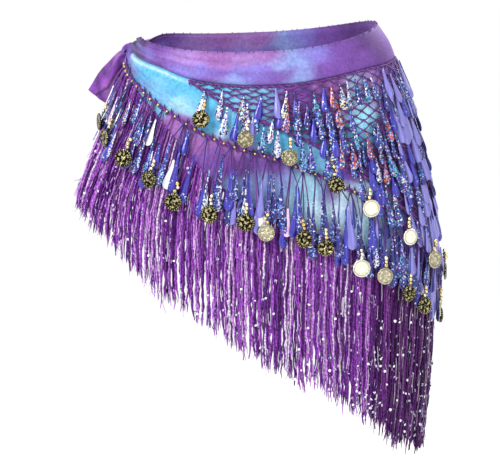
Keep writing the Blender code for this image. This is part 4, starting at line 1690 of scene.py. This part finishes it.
def add_bead_spangles(threads):
    """Spangles on slanting strands under the beaded chain: neighbours swing towards each other."""
    rng = random.Random(51)
    short, long = Hangings(), Hangings()
    for place, walk in enumerate(np.arange(walk_of(HUNG[0]), walk_of(HUNG[1]), HUNG_PITCH)):
        turn = float(turn_at(walk))
        slant = SWING if place % 2 else -SWING
        for level, share, falls, lengths, swung, stray in STRANDS:
            if rng.random() < share * float(HANGING.at(abs(turn), level)):
                fall = rng.uniform(*falls)
                swing = rng.gauss(0, stray) if stray else slant * swung
                items = short if lengths == SHORT_LENGTHS else long
                hang_pair(items, threads, turn, fall, rng, swing, lengths)
    return (
        short.build("bead_chain_spangles", DROP, FILM),
        long.build("bead_chain_long_spangles", LONG, FILM),
    )


# How far round they reach on both sides, then their pitch in metres, and their width and lift in
# millimetres. Those over the hip are closer, longer and narrower, and hang from higher up.
EDGE_REACH, EDGE_PITCH, EDGE_WIDTH, EDGE_LIFT = 116, 0.0135, 10.7, 4.5
EDGE_HIP_REACH, EDGE_HIP_PITCH, EDGE_HIP_WIDTH, EDGE_HIP_LIFT = 24, 0.0108, 9.0, 3.4
EDGE_HIP_LENGTHS, EDGE_HIP_RISE = (30, 36), 24


def add_edge_spangles():
    """Spangles under the net's edge, over the beaded chain."""
    rng = random.Random(61)
    items = Hangings()
    for walk in np.arange(walk_of(EDGE_REACH), walk_of(-EDGE_REACH), EDGE_PITCH):
        turn = float(turn_at(walk + rng.gauss(0, 0.002)))
        if rng.random() > 0.7 + 0.3 * max(0.0, 1 - abs(turn) / 75):
            continue
        drop = float(cut(turn, "lace")) + rng.uniform(-4, 4)
        tint = pick_spangle(rng, net_mix(turn, rng))
        lift = EDGE_LIFT + rng.uniform(0, 3)
        hang_at(items, turn, drop, lift, rng.uniform(*SHORT_LENGTHS), EDGE_WIDTH, tint, rng)
    for walk in np.arange(walk_of(EDGE_HIP_REACH), walk_of(-EDGE_HIP_REACH), EDGE_HIP_PITCH):
        turn = float(turn_at(walk + rng.gauss(0, 0.0007)))
        drop = float(cut(turn, "lace")) - EDGE_HIP_RISE + rng.gauss(0, 2)
        tint, length = pick_spangle(rng, "hip"), rng.uniform(*EDGE_HIP_LENGTHS)
        hang_at(items, turn, drop, EDGE_HIP_LIFT, length, EDGE_HIP_WIDTH, tint, rng)
    return items.build("lace_edge_spangles", DROP, FILM)


# ---- the fringe

# How often each yarn is used, as parts of a hundred.
YARN_SHARES = {"yarn": 41, "yarn_bright": 20, "yarn_dark": 22, "yarn_deep": 10, "yarn_pale": 7}
FRINGE_STEPS = 25
# Radii and lifts in millimetres, pitch and shift in metres.
YARN_GIRTHS, SILVER_GIRTH = (1.0, 1.5), 0.42
YARN_PITCH, LAYER_SHIFT, LAYER_LIFTS = 0.0027, 0.0009, (0.2, 1.9, 3.4)
STRAY_SHARE, SILVER_THREADS, SEQUINS, SEQUIN_WIDTHS = 0.65, 950, 1500, (2.4, 3.5)

# Where along X the yarn's painted shade begins, over what length it grows, and by how much it
# darkens the yarn.
HIP_SHADE_START, HIP_SHADE_LENGTH, HIP_SHADE_SHARE = 0.085, 0.06, 0.78


def hip_shade(place):
    """Painted shade on the yarn over the left hip, where it turns away from the light: darker there
    than in front and behind.
    """
    over_hip = min(max((place[0] - HIP_SHADE_START) / HIP_SHADE_LENGTH, 0), 1)
    return 1.08 - HIP_SHADE_SHARE * over_hip * over_hip * (3 - 2 * over_hip)


def fringe_paths(walks, lengths, lifts, seed):
    """Paths of fringe strands, which drift and lean together as they fall."""
    rng = np.random.default_rng(seed)
    count, steps = len(walks), FRINGE_STEPS
    fall = np.linspace(0, 1, steps)[None, :]
    turns = turn_at(walks)[:, None] + 0 * fall
    hem = cut(turns, "hem")
    drops = hem - 3 + lengths[:, None] * fall
    points = on_form(turns, drops, lifts[:, None] + 0.8 * np.sin(np.pi * fall))
    phase = rng.uniform(0, 6.28, (count, 3))
    walk_mm = walks[:, None] * 1000
    lean = 2.6 * ripple(walk_mm / 9 + lifts[:, None], 0.6 * fall, 0.3) * fall
    lean = lean + 2.2 * ripple(walk_mm / 37, 0.4 * fall, 1.4) * fall
    lean = lean + 0.9 * np.sin(2 * np.pi * 2.2 * fall + phase[:, :1]) * fall**0.5
    pace = rng.uniform(6.5, 9.5, (count, 1))
    lean = lean + 0.55 * np.sin(2 * np.pi * pace * fall + phase[:, 1:2]) * fall**0.3
    lean = lean + rng.normal(0, 1.8, (count, 1)) * fall**1.5
    wander = np.cumsum(rng.normal(0, 0.5, (count, steps)), axis=1)
    lean = lean + (wander - np.linspace(0, 0.5, steps) * wander[:, -1:]) * np.minimum(4 * fall, 1)
    drawn = np.exp(-walks / 0.012) - np.exp((walks - ROUND) / 0.012)
    lean = lean + 11 * drawn[:, None] * np.minimum(3 * fall, 1)
    out = 0.9 * np.sin(2 * np.pi * 1.7 * fall + phase[:, 2:]) * fall
    out = out + 0.5 * np.sin(2 * np.pi * pace * fall + phase[:, :1]) * fall**0.3
    hung = np.minimum(drops, hem - 1)
    side, normal = sideways_of(turns, hung), form_normal(turns, hung)
    return points + side * lean[..., None] * MM + normal * out[..., None] * MM


def add_fringe(name, reach, seed):
    """One side's fringe: silky yarns in three layers, frayed at their ends."""
    rng = np.random.default_rng(seed)
    pick = random.Random(seed)
    cords = Cords()
    start, end = walk_of(reach[0]), walk_of(reach[1])
    paths = []
    for layer, lift in enumerate(LAYER_LIFTS):
        walks = np.arange(start, end, YARN_PITCH) + LAYER_SHIFT * layer
        walks = walks + rng.normal(0, 0.0006, len(walks))
        walks = np.clip(walks, start, end)
        spread = 0.975 + rng.normal(0, 0.03, len(walks)) - 0.02 * layer
        spread = spread + 0.02 * ripple(walks * 1000 / 11, 0.0, 2.6)
        lengths = cut(turn_at(walks), "fringe") * np.clip(spread, 0.84, 1.03)
        lifts = lift + rng.normal(0, 0.35, len(walks))
        made = fringe_paths(walks, lengths, lifts, seed + layer)
        paths.append(made)
        for path in made:
            add_yarn(cords, path, rng, pick)
    piece = cords.build(name, YARN, sides=3)
    return piece, np.concatenate(paths)


def add_yarn(cords, path, rng, pick):
    """One uneven yarn, thinning at its tip, and often a loose end beside it."""
    girth = pick.uniform(*YARN_GIRTHS)
    taper = rng.uniform(0.8, 1.2, FRINGE_STEPS) * girth
    taper[-3:] *= (0.9, 0.7, 0.3)
    name = pick.choices(list(YARN_SHARES), list(YARN_SHARES.values()))[0]
    # The hip's painted shade times a random tone, with the green lowered in the shade to keep the
    # colour rich.
    shade = hip_shade(path[0]) * pick.uniform(0.85, 1.15)
    red, green, blue = (channel * shade for channel in paint(name))
    tint = (red, green * min(1, 0.45 + 0.55 * shade), blue, 1.0)
    cords.add(path, taper * MM, tint)
    if pick.random() < STRAY_SHARE:
        add_stray(cords, path, tint, pick)


def add_stray(cords, path, tint, pick):
    """A thin end that has come loose from a strand's tip."""
    share = np.linspace(0, 1, 4)[:, None]
    start, tip = path[-3], path[-1]
    loose = np.array([pick.gauss(0, 3.0), pick.gauss(0, 2.0), pick.gauss(-0.5, 2.8)]) * MM
    points = start + (tip - start) * share + loose * share**1.5
    cords.add(points, np.array((0.4, 0.35, 0.3, 0.15)) * MM, tint)


def add_metal_threads(paths):
    """Thin silvery threads that run down among the yarns."""
    pick = random.Random(71)
    cords = Cords()
    for path in paths[[pick.randrange(len(paths)) for _ in range(SILVER_THREADS)]]:
        first = pick.randint(1, FRINGE_STEPS - 4)
        last = first + pick.randint(2, 4)
        out = unit(path[first] * (1, 1, 0)) * pick.uniform(0, 1.8)
        offset = (np.array([pick.gauss(0, 1.2), pick.gauss(0, 1.2), 0]) + out) * MM
        # The hip's painted shade, softened for the silver threads.
        shade = 0.35 + 0.65 * hip_shade(path[0])
        tint = (*(channel * shade for channel in paint("thread_silver")), 1.0)
        cords.add(path[first:last] + offset, SILVER_GIRTH * MM, tint)
    return cords.build("silver_threads", THREAD, sides=3)


def add_sequins(paths):
    """Tiny silver sequins caught in the fringe, most of them low down and at the left hip."""
    pick = random.Random(81)
    items = Hangings()
    while len(items.places) < SEQUINS:
        path = paths[pick.randrange(len(paths))]
        share = pick.random() ** 0.65
        spot = path[min(int(share * (FRINGE_STEPS - 1)), FRINGE_STEPS - 2)]
        at_hip = 1 if spot[0] > 0.09 else 0.3
        if pick.random() > at_hip:
            continue
        out = Vector((spot[0] + 0.01, spot[1], 0)).normalized()
        root = Vector(spot) + out * pick.uniform(1.2, 2.4) * MM
        size = pick.uniform(*SEQUIN_WIDTHS) * MM
        foot = root - Vector((pick.gauss(0, 0.3), pick.gauss(0, 0.3), 1))
        tint = (*paint("white"), 0.0) if pick.random() < 0.6 else (*paint("silver"), 0.6)
        items.add(root, foot, out, (size, 0.3 * MM, size), tint, pick.gauss(0, 30))
    return items.build("fringe_sequins", SEQUIN, FILM)


def add_hem_chain():
    """The heading that the fringe is knotted to."""
    cords = Cords()
    add_chain(cords, "hem", WHOLE, -1.6, 0.9, 0.95, ("magenta", "crochet"), 6.0)
    return cords.build("hem_chain", THREAD)


# ---- the stage

# Each light's name, place, width and power, in metres and watts.
LIGHTS = (
    ("key", (-1.5, -2.2, 1.7), 1.1, 72),
    ("fill", (2.2, -1.8, 0.4), 1.8, 11),
    ("rear_key", (1.4, 2.2, 1.7), 1.1, 66),
    ("rear_fill", (-2.2, 1.8, 0.4), 1.8, 8),
)
CAMERA_LENS, CAMERA_SENSOR, CAMERA_DISTANCE, CAMERA_RISE = 196.4, 36.0, 3.0, math.radians(5)
CAMERA_TARGET, LIGHT_TARGET = (-0.0132, 0.0, -0.2211), (0, 0, -0.2)
FLOOR_HALF, FLOOR_LEVEL = 150.0, -0.95


def aim(thing, target):
    """Turn a light or a camera towards a place."""
    thing.rotation_euler = (Vector(target) - thing.location).to_track_quat("-Z", "Y").to_euler()


def add_light(name, place, size, power):
    """A round soft light."""
    lamp = bpy.data.lights.new(name, "AREA")
    lamp.shape = "DISK"
    lamp.size = size
    lamp.energy = power
    made = placed(name, lamp)
    made.location = place
    aim(made, LIGHT_TARGET)


def add_floor():
    """A pale floor, far below and far round the scarf."""
    signs = ((-1, -1), (1, -1), (1, 1), (-1, 1))
    corners = [(x * FLOOR_HALF, y * FLOOR_HALF, FLOOR_LEVEL) for x, y in signs]
    finish = Finish("floor", 0.9)
    finish.set("Base Color", (1.0, 1.0, 1.0, 1.0))
    finish.set("Specular IOR Level", 0.0)
    mesh_piece("floor", corners, [(0, 1, 2, 3)], finish.material, smooth=False)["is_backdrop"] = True


def set_world():
    """Even white light from all round."""
    world = bpy.data.worlds.new("studio")
    bpy.context.scene.world = world
    world.use_nodes = True
    background = world.node_tree.nodes["Background"]
    background.inputs["Color"].default_value = (1, 1, 1, 1)
    background.inputs["Strength"].default_value = 1.0


def set_camera():
    """A camera in front of the scarf and a little above it."""
    view = bpy.data.cameras.new("camera")
    view.sensor_width = CAMERA_SENSOR
    view.lens = CAMERA_LENS
    view.clip_end = 500.0
    made = placed("camera", view)
    away = Vector((0, -math.cos(CAMERA_RISE), math.sin(CAMERA_RISE))) * CAMERA_DISTANCE
    made.location = Vector(CAMERA_TARGET) + away
    aim(made, CAMERA_TARGET)
    bpy.context.scene.camera = made


# ---- run

panel, band = add_panel(), add_band()
tie_front = add_tie_end("tie_front", FRONT_TIE, 0.4)
tie_back = add_tie_end("tie_back", BACK_TIE, 2.1)
knot = add_knot_wrap()
bunches = [add_bunch("bunch_front", 188.0, 1), add_bunch("bunch_back", -154.0, -1)]
net, band_trim = add_net(), add_band_trim()
lace_edge, bead_chain, hem_chain = add_lace_edge(), add_bead_chain(), add_hem_chain()
net_spangles = add_net_spangles()
coins, beads, threads = add_coins()
bead_spangles, long_spangles = add_bead_spangles(threads)
edge_spangles = add_edge_spangles()
strands = threads.build("hanging_threads", THREAD)
fringe_front, front_paths = add_fringe("fringe_front", (FRONT_END, 0.0), 101)
fringe_back, back_paths = add_fringe("fringe_back", (0.0, BACK_END), 202)
all_paths = np.concatenate([front_paths, back_paths])
silver_threads, sequins = add_metal_threads(all_paths), add_sequins(all_paths)

for sample in SAMPLES:
    bpy.data.objects.remove(sample)

# Each piece that takes a node's place, its finish and the node.
STANDS_FOR = [
    (panel, "velvet_turquoise", ("hip_panel",)),
    (band, "velvet_purple", ("waistband",)),
    (net, "crochet_purple", ("upper_lace",)),
    (lace_edge, "crochet_purple", ("lace_edge",)),
    (edge_spangles, "spangle_blue", ("lace_edge",)),
    (bead_chain, "crochet_purple", ("beaded_chain",)),
    (bead_spangles, "spangle_blue", ("beaded_chain",)),
    (long_spangles, "spangle_blue", ("beaded_chain",)),
    (fringe_front, "yarn_purple", ("hem_fringe",)),
    (fringe_back, "yarn_purple", ("hem_fringe",)),
    (knot, "velvet_purple", ("tie_knot",)),
    (tie_front, "velvet_purple", ("tie_end_front",)),
    (tie_back, "velvet_purple", ("tie_end_back",)),
]
STANDS_FOR += [
    (piece, "spangle_blue", (f"lace_row_{level + 1}",)) for level, piece in enumerate(net_spangles)
]
for piece, finish, nodes in STANDS_FOR:
    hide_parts(*nodes)

with_panel = [
    net,
    lace_edge,
    bead_chain,
    hem_chain,
    *net_spangles,
    edge_spangles,
    bead_spangles,
    long_spangles,
    coins,
    beads,
    strands,
    fringe_front,
    fringe_back,
    silver_threads,
    sequins,
]
with_band = [band_trim, knot, *bunches]
for piece in [panel, band, tie_front, tie_back, *with_panel, *with_band]:
    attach(piece, "root")

add_floor()
set_world()
for light in LIGHTS:
    add_light(*light)
set_camera()
bpy.context.scene.view_settings.view_transform = "Standard"

visual_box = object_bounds()
boxes = {"cad": CAD_BOX, "visual": visual_box}
{name: [list(map(float, corner)) for corner in box] for name, box in boxes.items()}
